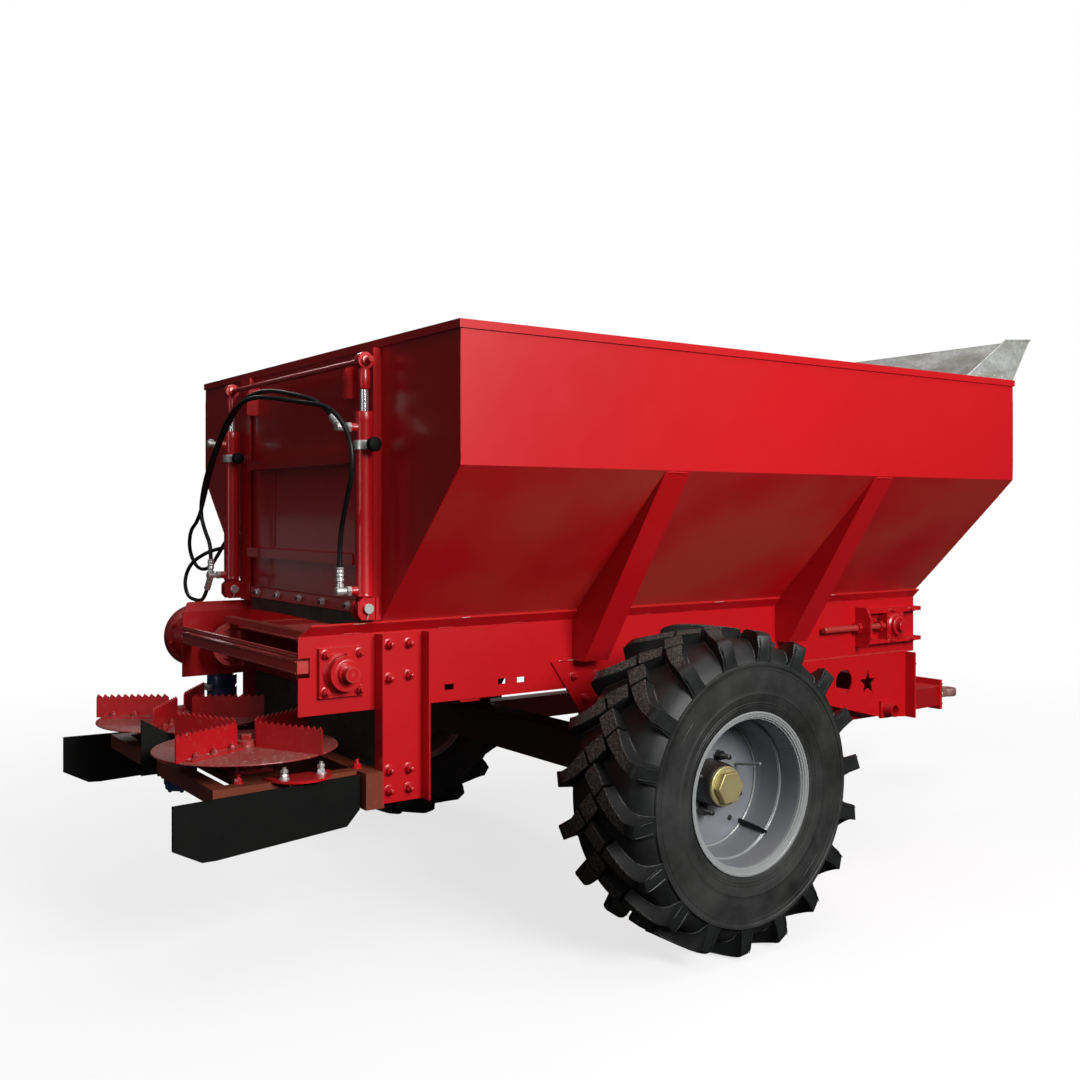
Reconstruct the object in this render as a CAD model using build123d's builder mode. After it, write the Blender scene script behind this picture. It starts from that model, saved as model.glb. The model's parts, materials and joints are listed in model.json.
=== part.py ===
from build123d import *
import math
import os

# Trailed twin-disc fertilizer spreader. +X is forward, +Y is left, +Z is up. The origin lies on
# the ground below the middle of the machine. Sizes are in millimetres, pieces face to face where
# they are welded or bolted. Pieces of the right side are mirrored to the left side.

os.makedirs("parts", exist_ok=True)

# ---------------------------------------------------------------- wheels and axle
tyre_diameter = 1075
tyre_width = 410
tread_sides = 36             # flats of the tread's base between the lugs
tread_base_radius = 503
shoulder_half = 140
shoulder_radius = 441
lug_pairs = 18
lug_width = 58
lug_slant = 42
bead_radius = 256
dish_rim_radius = 376
rim_radius = 271
rim_lip = 6
bead_half = 175
rim_half = 189
well_radius = 241
dish_radius = 231
dish_step = 92               # offset of the dish's inner step from the wheel's middle
wheel_track = 2200
axle_x = -597
axle_z = tyre_diameter / 2
axle_square = 140
hub_face_inset = 12          # wheel disc's outer face, inside the tyre's middle
wheel_disc = 14
drum_radius = 105
hub_radius = 70
cap_across = 118
cap_reach = 78
drum_width = 110

# ---------------------------------------------------------------- hopper
hopper_length = 2800
hopper_width = 2172
hopper_top_z = 2038
hopper_overhang = 1005       # behind the axle
hopper_rear_x = axle_x - hopper_overhang
hopper_front_x = hopper_rear_x + hopper_length
sheet = 4
slope_angle = 45
rim_height = 26
rim_fold = 6
mouth_width = 880
mouth_top_z = 1560
apron_height = 189
apron_sheet = 3
apron_start = 1466           # from the axle
apron_knee = 1744
apron_tip = 1926
tie_bar_places = (930, 1870)   # from the hopper's rear end
tie_bar_z = 1780
tie_bar_radius = 21

# ---------------------------------------------------------------- main frame
frame_width = 1120
frame_plate = 8
frame_rear_x = axle_x - 1286
frame_front_x = axle_x + 1812
frame_bottom_z = 816
flange_bend_z = 1070
flange_rise = 33
slot_places = ((-729, 865), (-510, 866), (-428, 865))     # (along, height) from the axle, ground
slot_length = 36
slot_height = 20
subframe_rear_x = axle_x - 149
subframe_front_x = axle_x + 1752
subframe_rear_z = 702
subframe_front_z = 512
subframe_holes = ((1164, 729), (1321, 710))               # (along, height) from the axle, ground
hole_radius = 54
star_x = 1483
star_z = 692
star_radius = 58
front_flange_reach = 52
saddle_inset = 80            # inner edge of an axle saddle, inside the side plate's face
rail_width = 80
rail_y = frame_width / 2 - saddle_inset - rail_width / 2
rail_height = 100
cross_tube = 80

# ---------------------------------------------------------------- conveyor
shaft_radius = 25
shaft_fit = 0.05
shaft_z = 950
rear_shaft_x = axle_x - 1140
front_shaft_x = axle_x + 1616
chain_pitch_radius = 75
chain_thickness = 18
chain_width = 32
chain_y = 400
sprocket_teeth = 8
slat_count = 15
slat_height = 24
slat_width = 36
chain_gap = 1                # between the lower slats and the cross tubes
cross_top_z = shaft_z - chain_pitch_radius - chain_thickness / 2 - slat_height - chain_gap
floor_sheet = 5
bearing_square = 160
bearing_flange = 16
bearing_boss = 58

# ---------------------------------------------------------------- gate and its cylinders
gate_inset = 55              # gate's edge inside the side plates' faces
gate_width = frame_width - 2 * gate_inset
gate_bottom_z = 1117
gate_top_z = 1912
gate_sheet = 6
gate_gap = 6              # behind the panel, and between its front and the hopper's rim
gate_stroke = 440
guide_width = 90
cylinder_offset = 33         # cylinders' axes outside the side plates' faces
cylinder_y = frame_width / 2 + cylinder_offset
cylinder_x = hopper_rear_x - 66
barrel_radius = 30
barrel_wall = 5
barrel_bottom_z = 1196
barrel_top_z = 1796
rod_radius = 14
rod_fit = 0.08
lift_bar_z = 1960
lift_bar_radius = 10
eye_radius = 28
eye_width = 30
cylinder_pin_z = 1155
pin_radius = 14
port_reach = 86              # from the barrel's axis rearwards to the elbow's axis
port_heights = (1213, 1742)
port_radius = 9
elbow_radius = 12
nut_across = 24
nut_reach = 14
hose_radius = 8
hose_sides = 8
ferrule_radius = 11
clamp_z = 1685

# ---------------------------------------------------------------- spreading discs
disc_x = axle_x - 1368
disc_y = 328
disc_radius = 298
disc_sheet = 6
disc_z = 692
blade_count = 4
blade_start = 44
blade_reach = 314
blade_height = 88
blade_sheet = 5
blade_foot = 32
blade_teeth = 11
tooth_height = 12
disc_shaft_radius = 20
disc_shaft_fit = 0.05
motor_radius = 60
carrier_top_z = 620
carrier_beam = 50
curtain_sheet = 8

# ---------------------------------------------------------------- drawbar and jack
head_reach = 2660            # from the axle
head_x = axle_x + head_reach
eye_offset = 185             # tow eye's axis ahead of the head plate
eye_x = head_x + eye_offset
eye_z = 462
tow_eye_radius = 58
tow_eye_bore = 26
tow_eye_height = 44
jack_reach = 1600            # from the axle
jack_x = axle_x + jack_reach
jack_z = 562
jack_offset = 160            # jack's axis outside the left side plate's face
jack_y = frame_width / 2 + jack_offset
stub_radius = 30
stub_reach = 62
jack_tube_width = 64
jack_tube_wall = 5
jack_leg_fit = 0.3
jack_foot_width = 160
jack_foot_sheet = 10
jack_top_z = 930
jack_tube_bottom_z = 240
jack_leg_top_z = 640

slope = math.radians(slope_angle)
frame_half = frame_width / 2
hopper_half = hopper_width / 2


def block(x, y, z, mode=Mode.ADD):
    """A box between two corners, each given as (low, high) along its axis."""
    middle = ((x[0] + x[1]) / 2, (y[0] + y[1]) / 2, (z[0] + z[1]) / 2)
    with Locations(middle):
        Box(x[1] - x[0], y[1] - y[0], z[1] - z[0], mode=mode)


def rod_along_y(x, y, z, radius, mode=Mode.ADD):
    """A round bar along Y between y = (low, high)."""
    with Locations(Location((x, (y[0] + y[1]) / 2, z), (90, 0, 0))):
        Cylinder(radius, y[1] - y[0], mode=mode)


def rod_along_z(x, y, z, radius, mode=Mode.ADD):
    """A round bar along Z between z = (low, high)."""
    with Locations((x, y, (z[0] + z[1]) / 2)):
        Cylinder(radius, z[1] - z[0], mode=mode)


def rod_along_x(x, y, z, radius, mode=Mode.ADD):
    """A round bar along X between x = (low, high)."""
    with Locations(Location(((x[0] + x[1]) / 2, y, z), (0, 90, 0))):
        Cylinder(radius, x[1] - x[0], mode=mode)


def side_plate(points, y, thickness, mode=Mode.ADD):
    """A flat plate standing in a plane across Y, from y outwards (to -Y), from (x, z) points."""
    with BuildSketch(Plane.XZ.offset(-y)) as plate:
        Polygon(*points, align=None)
    extrude(plate.sketch, amount=thickness, mode=mode)


def cross_section(points, x, length, mode=Mode.ADD):
    """A bar along X from x, with its section given as (y, z) points."""
    with BuildSketch(Plane.YZ.offset(x)) as section:
        Polygon(*points, align=None)
    extrude(section.sketch, amount=length, mode=mode)


def save(part, label):
    part.label = label
    export_step(part, f"parts/{label}.step")


# The side plates' top flange leans outwards at the slope's angle, and the hopper's sloped sheet
# lies on it. These heights follow from that contact.
flange_reach = flange_rise / math.tan(slope)
web_inner = frame_half - frame_plate
web_inner_top_z = flange_bend_z + frame_plate * (1 / math.cos(slope) - math.tan(slope))
hopper_bend_z = web_inner_top_z + math.tan(slope) * (hopper_half - web_inner)


def slope_y(z):
    """Half width of the hopper's outer sloped face at height z."""
    return web_inner + (z - web_inner_top_z) / math.tan(slope)


# ---------------------------------------------------------------- hopper shell
inner_half = hopper_half - sheet
inner_bend_z = hopper_bend_z + sheet * (1 / math.cos(slope) - math.tan(slope))
cut_z = web_inner_top_z - 10
inner_bottom = inner_half + (cut_z - inner_bend_z) / math.tan(slope)
with BuildPart() as hopper:
    cross_section(
        [
            (-hopper_half, hopper_top_z), (-hopper_half, hopper_bend_z), (-web_inner, web_inner_top_z),
            (web_inner, web_inner_top_z), (hopper_half, hopper_bend_z), (hopper_half, hopper_top_z),
        ],
        hopper_rear_x, hopper_length,
    )
    cross_section(
        [
            (-inner_half, hopper_top_z + 10), (-inner_half, inner_bend_z), (-inner_bottom, cut_z),
            (inner_bottom, cut_z), (inner_half, inner_bend_z), (inner_half, hopper_top_z + 10),
        ],
        hopper_rear_x + sheet, hopper_length - 2 * sheet, mode=Mode.SUBTRACT,
    )
    block(
        (hopper_rear_x - 10, hopper_rear_x + 20), (-mouth_width / 2, mouth_width / 2),
        (cut_z, mouth_top_z), mode=Mode.SUBTRACT,
    )
    with BuildSketch(Plane.XY.offset(hopper_top_z - rim_height)):
        with Locations(((hopper_rear_x + hopper_front_x) / 2, 0)):
            Rectangle(hopper_length + 2 * rim_fold, hopper_width + 2 * rim_fold)
            Rectangle(hopper_length, hopper_width, mode=Mode.SUBTRACT)
    extrude(amount=rim_height)
    for along in tie_bar_places:
        rod_along_y(hopper_rear_x + along, (-inner_half - 1, inner_half + 1), tie_bar_z, tie_bar_radius)
save(hopper.part, "hopper")

# ---------------------------------------------------------------- galvanised apron on the front
apron_points = [
    (axle_x + apron_start, hopper_top_z), (axle_x + apron_knee, hopper_top_z + 0.92 * apron_height),
    (axle_x + apron_tip, hopper_top_z + apron_height), (hopper_front_x, hopper_top_z),
]
with BuildPart() as apron:
    side_plate(apron_points, hopper_half, hopper_width)
    inner_points = [
        (axle_x + 1300, hopper_top_z - 20), (axle_x + 1300, hopper_top_z + apron_height + 60),
        (axle_x + apron_tip - apron_sheet * 1.2 + 60 * 131 / apron_height, hopper_top_z + apron_height + 60),
        (hopper_front_x - apron_sheet * 1.2 - 20 * 131 / apron_height, hopper_top_z - 20),
    ]
    side_plate(inner_points, hopper_half - apron_sheet, hopper_width - 2 * apron_sheet, mode=Mode.SUBTRACT)
save(apron.part, "front_apron")

# ---------------------------------------------------------------- main frame side plates
with BuildPart() as frame_sides:
    flange_top_z = flange_bend_z + flange_rise
    cross_section(
        [
            (-frame_half, frame_bottom_z), (-frame_half, flange_bend_z),
            (-frame_half - flange_reach, flange_top_z),
            (
                -frame_half - flange_reach + frame_plate * math.sin(slope),
                flange_top_z + frame_plate * math.cos(slope),
            ),
            (-web_inner, web_inner_top_z), (-web_inner, frame_bottom_z),
        ],
        frame_rear_x, frame_front_x - frame_rear_x,
    )
    # rear corner of the flange, cut back at a slant
    side_plate(
        [
            (frame_rear_x - 10, flange_bend_z - 5), (frame_rear_x, flange_bend_z - 5),
            (frame_rear_x + 45, flange_top_z + 20), (frame_rear_x - 10, flange_top_z + 20),
        ],
        -web_inner + 20, 100, mode=Mode.SUBTRACT,
    )
    # open notch in the rear edge, and the bores for both shafts
    block(
        (frame_rear_x - 10, frame_rear_x + 40), (-frame_half - 1, -web_inner + 1),
        (shaft_z - 12, shaft_z + 52),
        mode=Mode.SUBTRACT,
    )
    rod_along_y(rear_shaft_x, (-frame_half - 1, -web_inner + 1), shaft_z, shaft_radius + 8, mode=Mode.SUBTRACT)
    for along, height in slot_places:
        block(
            (axle_x + along - slot_length / 2, axle_x + along + slot_length / 2),
            (-frame_half - 1, -web_inner + 1), (height - slot_height / 2, height + slot_height / 2),
            mode=Mode.SUBTRACT,
        )
    block(
        (front_shaft_x - 75, front_shaft_x + 35), (-frame_half - 1, -web_inner + 1),
        (shaft_z - shaft_radius - 8, shaft_z + shaft_radius + 8), mode=Mode.SUBTRACT,
    )
    mirror(about=Plane.XZ)
save(frame_sides.part, "frame_sides")

# ---------------------------------------------------------------- legs that carry the disc frame
leg_rear_x = axle_x - 1015
leg_width = 180
leg_depth = 55
leg_wall = 6
leg_bottom_z = 500
leg_top_z = flange_bend_z - 4
curtain_x = leg_rear_x + 30
with BuildPart() as legs:
    block((leg_rear_x, leg_rear_x + leg_width), (-frame_half - leg_depth, -frame_half), (leg_bottom_z, leg_top_z))
    block(
        (leg_rear_x + leg_wall, leg_rear_x + leg_width - leg_wall),
        (-frame_half - leg_depth - 1, -frame_half - leg_wall), (leg_bottom_z - 1, leg_top_z + 1),
        mode=Mode.SUBTRACT,
    )
    mirror(about=Plane.XZ)
save(legs.part, "legs")

# ---------------------------------------------------------------- sub-frame below the main frame
with BuildPart() as subframe:
    side_plate(
        [
            (subframe_rear_x - 75, frame_bottom_z), (subframe_rear_x, subframe_rear_z),
            (axle_x + 850, subframe_rear_z), (axle_x + 1270, 602), (axle_x + 1572, 527),
            (subframe_front_x, subframe_front_z), (subframe_front_x, frame_bottom_z),
        ],
        -web_inner, frame_plate,
    )
    for along, height in subframe_holes:
        rod_along_y(
            axle_x + along, (-frame_half - 1, -web_inner + 1), height, hole_radius, mode=Mode.SUBTRACT
        )
    star = []
    for point in range(10):
        reach = star_radius if point % 2 == 0 else 0.4 * star_radius
        angle = math.radians(90 + 36 * point)
        star.append((axle_x + star_x + reach * math.cos(angle), star_z + reach * math.sin(angle)))
    side_plate(star, -web_inner + 1, frame_plate + 2, mode=Mode.SUBTRACT)
    block(
        (subframe_front_x, subframe_front_x + 10), (-frame_half - front_flange_reach, -web_inner + 60),
        (subframe_front_z, frame_bottom_z),
    )
    mirror(about=Plane.XZ)
save(subframe.part, "subframe_plates")

with BuildPart() as cross_members:
    for along in (-640, 300, 1000):
        block(
            (axle_x + along - cross_tube / 2, axle_x + along + cross_tube / 2), (-web_inner, web_inner),
            (frame_bottom_z - 10, cross_top_z),
        )
    block(
        (subframe_front_x - cross_tube, subframe_front_x), (-web_inner, web_inner),
        (subframe_front_z + rail_height, subframe_front_z + rail_height + cross_tube),
    )
    bar_x = curtain_x + curtain_sheet
    block((bar_x, bar_x + 40), (-web_inner, web_inner), (frame_bottom_z, cross_top_z - 5))
    block((bar_x, bar_x + 6), (-web_inner + 4, web_inner - 4), (frame_bottom_z - 30, frame_bottom_z))
save(cross_members.part, "cross_members")

rail_z = (subframe_front_z, subframe_front_z + rail_height)
with BuildPart() as rails:
    block((axle_x + axle_square / 2, subframe_front_x), (-rail_y - rail_width / 2, -rail_y + rail_width / 2), rail_z)
    mirror(about=Plane.XZ)
save(rails.part, "longitudinal_rails")

# ---------------------------------------------------------------- axle
hub_y = wheel_track / 2 - hub_face_inset - wheel_disc      # inner face of the wheel disc
drum_y = hub_y - drum_width
spindle_radius = 40
with BuildPart() as axle:
    block(
        (axle_x - axle_square / 2, axle_x + axle_square / 2), (-drum_y + 12, drum_y - 12),
        (axle_z - axle_square / 2, axle_z + axle_square / 2),
    )
    rod_along_y(axle_x, (-hub_y, hub_y), axle_z, spindle_radius)
save(axle.part, "axle_beam")

saddle_height = subframe_rear_z - (axle_z + axle_square / 2)
with BuildPart() as saddles:
    block(
        (axle_x - 110, axle_x + 110), (-frame_half - 20, -frame_half + saddle_inset),
        (axle_z + axle_square / 2, subframe_rear_z),
    )
    mirror(about=Plane.XZ)
save(saddles.part, "axle_saddles")

# ---------------------------------------------------------------- struts from hopper to frame
strut_width = 112
strut_plate = 8
strut_foot_z = 920
strut_foot_reach = 66
strut_x = (axle_x - 200, axle_x + 880)
bracket_plate = 8
with BuildPart() as struts:
    for start in strut_x:
        foot_y = frame_half + bracket_plate
        web_points = [
            (-hopper_half, hopper_bend_z),
            (
                -frame_half - flange_reach + frame_plate * math.sin(slope),
                flange_top_z + frame_plate * math.cos(slope),
            ),
            (-frame_half - flange_reach, flange_top_z), (-frame_half, flange_bend_z),
            (-frame_half, strut_foot_z), (-foot_y - strut_foot_reach, strut_foot_z),
        ]
        cross_section(web_points, start, strut_plate)
        run = hopper_half - foot_y - strut_foot_reach
        rise = hopper_bend_z - strut_foot_z
        length = math.hypot(run, rise)
        inset = strut_plate * length / rise
        cross_section(
            [
                (-hopper_half, hopper_bend_z), (-foot_y - strut_foot_reach, strut_foot_z),
                (-foot_y - strut_foot_reach + inset, strut_foot_z),
                (-hopper_half + inset / (1 - run / rise * math.tan(slope)),
                 hopper_bend_z - inset / (1 - run / rise * math.tan(slope)) * math.tan(slope)),
            ],
            start, strut_width,
        )
        side_plate(
            [
                (start - 100, strut_foot_z), (start + 30, 730), (start + strut_width + 60, 730),
                (start + strut_width + 60, strut_foot_z),
            ],
            -frame_half, bracket_plate,
        )
    mirror(about=Plane.XZ)
save(struts.part, "hopper_struts")

# ---------------------------------------------------------------- conveyor
floor_top_z = shaft_z + chain_pitch_radius - chain_thickness / 2
with BuildPart() as conveyor_floor:
    block(
        (rear_shaft_x + 30, front_shaft_x - 30), (-web_inner, web_inner),
        (floor_top_z - floor_sheet, floor_top_z),
    )
save(conveyor_floor.part, "conveyor_floor")

outer_radius = chain_pitch_radius + chain_thickness / 2
inner_radius = chain_pitch_radius - chain_thickness / 2
shaft_gap = front_shaft_x - rear_shaft_x
slat_pitch = (2 * shaft_gap + 2 * math.pi * chain_pitch_radius) / slat_count
with BuildPart() as chain:
    middle_x = (rear_shaft_x + front_shaft_x) / 2
    with BuildSketch(Plane.XZ.offset(-chain_y - chain_width / 2)):
        with Locations((middle_x, shaft_z)):
            SlotCenterToCenter(shaft_gap, 2 * outer_radius)
            SlotCenterToCenter(shaft_gap, 2 * inner_radius, mode=Mode.SUBTRACT)
    extrude(amount=chain_width)
    mirror(about=Plane.XZ)
    for index in range(slat_count):
        travel = index * slat_pitch
        if travel < shaft_gap:
            spot = Location((rear_shaft_x + travel, 0, shaft_z + outer_radius + slat_height / 2))
        elif travel < shaft_gap + math.pi * chain_pitch_radius:
            turn = (travel - shaft_gap) / chain_pitch_radius
            reach = outer_radius + slat_height / 2
            spot = Location(
                (front_shaft_x + reach * math.sin(turn), 0, shaft_z + reach * math.cos(turn)),
                (0, math.degrees(turn), 0),
            )
        elif travel < 2 * shaft_gap + math.pi * chain_pitch_radius:
            back = travel - shaft_gap - math.pi * chain_pitch_radius
            spot = Location((front_shaft_x - back, 0, shaft_z - outer_radius - slat_height / 2))
        else:
            turn = (travel - 2 * shaft_gap - math.pi * chain_pitch_radius) / chain_pitch_radius
            reach = outer_radius + slat_height / 2
            spot = Location(
                (rear_shaft_x - reach * math.sin(turn), 0, shaft_z - reach * math.cos(turn)),
                (0, math.degrees(turn), 0),
            )
        with Locations(spot):
            Box(slat_width, 2 * chain_y + chain_width + 60, slat_height)
save(chain.part, "slat_chain")

with BuildPart() as shafts:
    sprocket_radius = inner_radius - 0.3
    for along in (rear_shaft_x, front_shaft_x):
        rod_along_y(along, (-frame_half - 95, frame_half + 95), shaft_z, shaft_radius)
        for side in (-1, 1):
            with BuildSketch(Plane.XZ.offset(-side * chain_y - 8)):
                with Locations((along, shaft_z)):
                    RegularPolygon(sprocket_radius, sprocket_teeth)
            extrude(amount=16)
save(shafts.part, "conveyor_shafts")

with BuildPart() as rear_bearing:
    block(
        (rear_shaft_x - bearing_square / 2, rear_shaft_x + bearing_square / 2),
        (-frame_half - bearing_flange, -frame_half),
        (shaft_z - bearing_square / 2, shaft_z + bearing_square / 2),
    )
    rod_along_y(rear_shaft_x, (-frame_half - 55, -frame_half), shaft_z, bearing_boss)
    rod_along_y(rear_shaft_x, (-frame_half - 60, -frame_half + 1), shaft_z, shaft_radius + shaft_fit, mode=Mode.SUBTRACT)
save(rear_bearing.part, "rear_bearing")

takeup_block = 118
takeup_plate = 10
takeup_reach = 86
screw_radius = 14
with BuildPart() as takeups:
    plate_x = axle_x + 1395
    octagon = takeup_reach
    cross_section(
        [
            (-frame_half, shaft_z - 90), (-frame_half - octagon + 25, shaft_z - 90),
            (-frame_half - octagon, shaft_z - 45), (-frame_half - octagon, shaft_z + 45),
            (-frame_half - octagon + 25, shaft_z + 90), (-frame_half, shaft_z + 90),
        ],
        plate_x, takeup_plate,
    )
    rod_along_x(
        (plate_x - 1, plate_x + takeup_plate + 1), -frame_half - 28, shaft_z, screw_radius, mode=Mode.SUBTRACT
    )
    for side in (-1, 1):
        rail_middle = shaft_z + side * (takeup_block / 2 + 10)
        block(
            (plate_x + takeup_plate, frame_front_x), (-frame_half - 42, -frame_half),
            (rail_middle - 9.5, rail_middle + 9.5),
        )
    mirror(about=Plane.XZ)
save(takeups.part, "takeup_rails")

with BuildPart() as takeup_blocks:
    block(
        (front_shaft_x - takeup_block / 2, front_shaft_x + takeup_block / 2),
        (-frame_half - 50, -frame_half - 1), (shaft_z - takeup_block / 2, shaft_z + takeup_block / 2),
    )
    rod_along_y(front_shaft_x, (-frame_half - 72, -frame_half - 1), shaft_z, 40)
    rod_along_y(
        front_shaft_x, (-frame_half - 80, -frame_half), shaft_z, shaft_radius + shaft_fit, mode=Mode.SUBTRACT
    )
    mirror(about=Plane.XZ)
save(takeup_blocks.part, "takeup_bearings")

with BuildPart() as takeup_screws:
    rod_along_x(
        (axle_x + 1155, front_shaft_x - takeup_block / 2), -frame_half - 28, shaft_z, screw_radius,
    )
    mirror(about=Plane.XZ)
save(takeup_screws.part, "takeup_screws")

with BuildPart() as rear_lip:
    block((frame_rear_x, frame_rear_x + 12), (-web_inner, web_inner), (shaft_z + 50, floor_top_z))
    block((frame_rear_x, frame_rear_x + 40), (-web_inner, web_inner), (shaft_z + 2, shaft_z + 42))
save(rear_lip.part, "rear_crossbar")

# ---------------------------------------------------------------- conveyor drive on the left side
case_radius = 110
with BuildPart() as reducer:
    rod_along_y(rear_shaft_x, (frame_half, frame_half + 230), shaft_z, case_radius)
    rod_along_y(rear_shaft_x, (frame_half + 230, frame_half + 290), shaft_z, case_radius + 18)
    block(
        (rear_shaft_x + 20, rear_shaft_x + 120), (frame_half + 60, frame_half + 160), (shaft_z - 110, shaft_z + 60),
    )
    rod_along_y(
        rear_shaft_x, (frame_half - 1, frame_half + 100), shaft_z, shaft_radius + shaft_fit, mode=Mode.SUBTRACT
    )
save(reducer.part, "conveyor_reducer")

with BuildPart() as motors:
    rod_along_z(rear_shaft_x + 60, frame_half + 118, (shaft_z - 260, shaft_z - 110), motor_radius)
    for side in (-1, 1):
        rod_along_z(disc_x, side * disc_y, (carrier_top_z - 188, carrier_top_z - 20), motor_radius)
save(motors.part, "hydraulic_motors")

# ---------------------------------------------------------------- disc frame
carrier_overhang = 1560      # behind the axle
carrier_rear_x = axle_x - carrier_overhang
beam_y = web_inner
carrier_bottom_z = carrier_top_z - carrier_beam
with BuildPart() as disc_frame:
    for side in (-1, 1):
        block(
            (carrier_rear_x, leg_rear_x + leg_width - 20),
            (min(side * beam_y, side * (beam_y - carrier_beam)), max(side * beam_y, side * (beam_y - carrier_beam))),
            (carrier_bottom_z, carrier_top_z),
        )
        low = min(side * beam_y, side * (beam_y + 8))
        block((leg_rear_x - 60, leg_rear_x + leg_width - 20), (low, low + 8), (leg_bottom_z + 10, carrier_top_z))
    block((carrier_rear_x, carrier_rear_x + 55), (-beam_y, beam_y), (carrier_bottom_z, carrier_top_z))
    block((leg_rear_x - 60, leg_rear_x), (-frame_half - leg_depth, frame_half + leg_depth), (leg_bottom_z, carrier_top_z))
    block((disc_x - 90, disc_x + 90), (-beam_y, beam_y), (carrier_top_z - 20, carrier_top_z))
    for side in (-1, 1):
        rod_along_z(
            disc_x, side * disc_y, (carrier_top_z - 21, carrier_top_z + 1), disc_shaft_radius + 10, mode=Mode.SUBTRACT
        )
save(disc_frame.part, "disc_frame")

bearing_top_z = disc_z - 17
with BuildPart() as disc_bearings:
    for side in (-1, 1):
        block(
            (disc_x - 65, disc_x + 65), (side * disc_y - 65, side * disc_y + 65), (carrier_top_z, carrier_top_z + 12)
        )
        rod_along_z(disc_x, side * disc_y, (carrier_top_z, bearing_top_z), 48)
        rod_along_z(
            disc_x, side * disc_y, (carrier_top_z - 1, bearing_top_z + 1), disc_shaft_radius + disc_shaft_fit,
            mode=Mode.SUBTRACT,
        )
save(disc_bearings.part, "disc_bearings")

with BuildPart() as curtain:
    block((curtain_x, curtain_x + curtain_sheet), (-web_inner + 4, web_inner - 4), (carrier_top_z + 6, frame_bottom_z + 2))
save(curtain.part, "guard_curtain")

blade_turn = {"right": 27, "left": -35}
blade_pitch = (blade_reach - blade_start) / blade_teeth
blade_outline = [(blade_start, 0)]
for tooth in range(blade_teeth):
    blade_outline.append((blade_start + tooth * blade_pitch, blade_height - tooth_height))
    blade_outline.append((blade_start + (tooth + 0.7) * blade_pitch, blade_height))
blade_outline += [(blade_reach, blade_height - tooth_height), (blade_reach, 0)]
for side_name, side in (("right", -1), ("left", 1)):
    with BuildPart() as disc:
        rod_along_z(disc_x, side * disc_y, (disc_z, disc_z + disc_sheet), disc_radius)
        rod_along_z(disc_x, side * disc_y, (carrier_top_z + 2, disc_z), disc_shaft_radius)
        rod_along_z(disc_x, side * disc_y, (disc_z, disc_z + disc_sheet + 22), 34)
    save(disc.part, f"disc_{side_name}")

    with BuildPart() as blades:
        with BuildSketch(Plane.XZ.offset(-blade_sheet / 2)) as profile:
            Polygon(*blade_outline, align=None)
        blade = extrude(profile.sketch, amount=blade_sheet, mode=Mode.PRIVATE)
        foot = Box(
            disc_radius - blade_start - 24, blade_foot, blade_sheet,
            align=(Align.MIN, Align.MIN, Align.MIN), mode=Mode.PRIVATE,
        ).moved(Location((blade_start, 0, 0)))
        with Locations((disc_x, side * disc_y, disc_z + disc_sheet)):
            with PolarLocations(0, blade_count, start_angle=blade_turn[side_name]):
                add(blade)
                add(foot)
    save(blades.part, f"blades_{side_name}")

# ---------------------------------------------------------------- divider and deflectors
with BuildPart() as divider:
    side_plate(
        [
            (carrier_rear_x - 52, carrier_bottom_z), (carrier_rear_x, carrier_bottom_z),
            (carrier_rear_x, carrier_top_z),
            (carrier_rear_x + 70, carrier_top_z), (carrier_rear_x + 70, 690), (carrier_rear_x - 52, 762),
        ],
        4, 8,
    )
save(divider.part, "divider_plate")

deflector_gap = 45           # outwards from the side plates, at the deflector's middle
deflector_sheet = 10
deflector_top_z = 612
deflector_angle = 5.6
deflector_plane = Plane(
    origin=(disc_x - 12, -frame_half - deflector_gap, 0),
    x_dir=(math.cos(math.radians(deflector_angle)), math.sin(math.radians(deflector_angle)), 0),
    z_dir=(math.sin(math.radians(deflector_angle)), -math.cos(math.radians(deflector_angle)), 0),
)
with BuildPart() as deflector_brackets:
    with BuildSketch(Plane.XY.offset(carrier_top_z)):
        with Locations((axle_x - 1270, -beam_y + 40)):
            Ellipse(110, 120)
        with Locations((axle_x - 1270, -beam_y + 240)):
            Rectangle(300, 400, mode=Mode.SUBTRACT)
    extrude(amount=8)
    with BuildSketch(deflector_plane):
        with Locations((110, carrier_top_z - 22)):
            Rectangle(120, 60)
    extrude(amount=-8)
    mirror(about=Plane.XZ)
save(deflector_brackets.part, "deflector_brackets")

with BuildPart() as deflectors:
    with BuildSketch(deflector_plane):
        Polygon(
            (-335, deflector_top_z), (298, deflector_top_z), (298, 500), (250, 452), (-200, 430), (-245, 432),
            (-335, 480), align=None,
        )
    extrude(amount=deflector_sheet)
    mirror(about=Plane.XZ)
save(deflectors.part, "deflectors")

# ---------------------------------------------------------------- gate
gate_front_x = hopper_rear_x - rim_fold - gate_gap
gate_rear_x = gate_front_x - gate_sheet
guide_gap_x = gate_rear_x - gate_gap
guide_rear_x = guide_gap_x - 6
guide_z = (gate_bottom_z - 5, hopper_top_z - rim_height - 4)
gate_bars = ((173, 209), (517, 553))                      # (low, high) from the gate's lower edge
lift_bracket_y = gate_width / 2 - 75
with BuildPart() as guides:
    spacer_y = gate_width / 2 + 8
    block((guide_gap_x, hopper_rear_x), (-spacer_y - 75, -spacer_y), guide_z)
    block((guide_rear_x, guide_gap_x), (-spacer_y - 75, -gate_width / 2 + 20), guide_z)
    mirror(about=Plane.XZ)
save(guides.part, "gate_guides")

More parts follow.
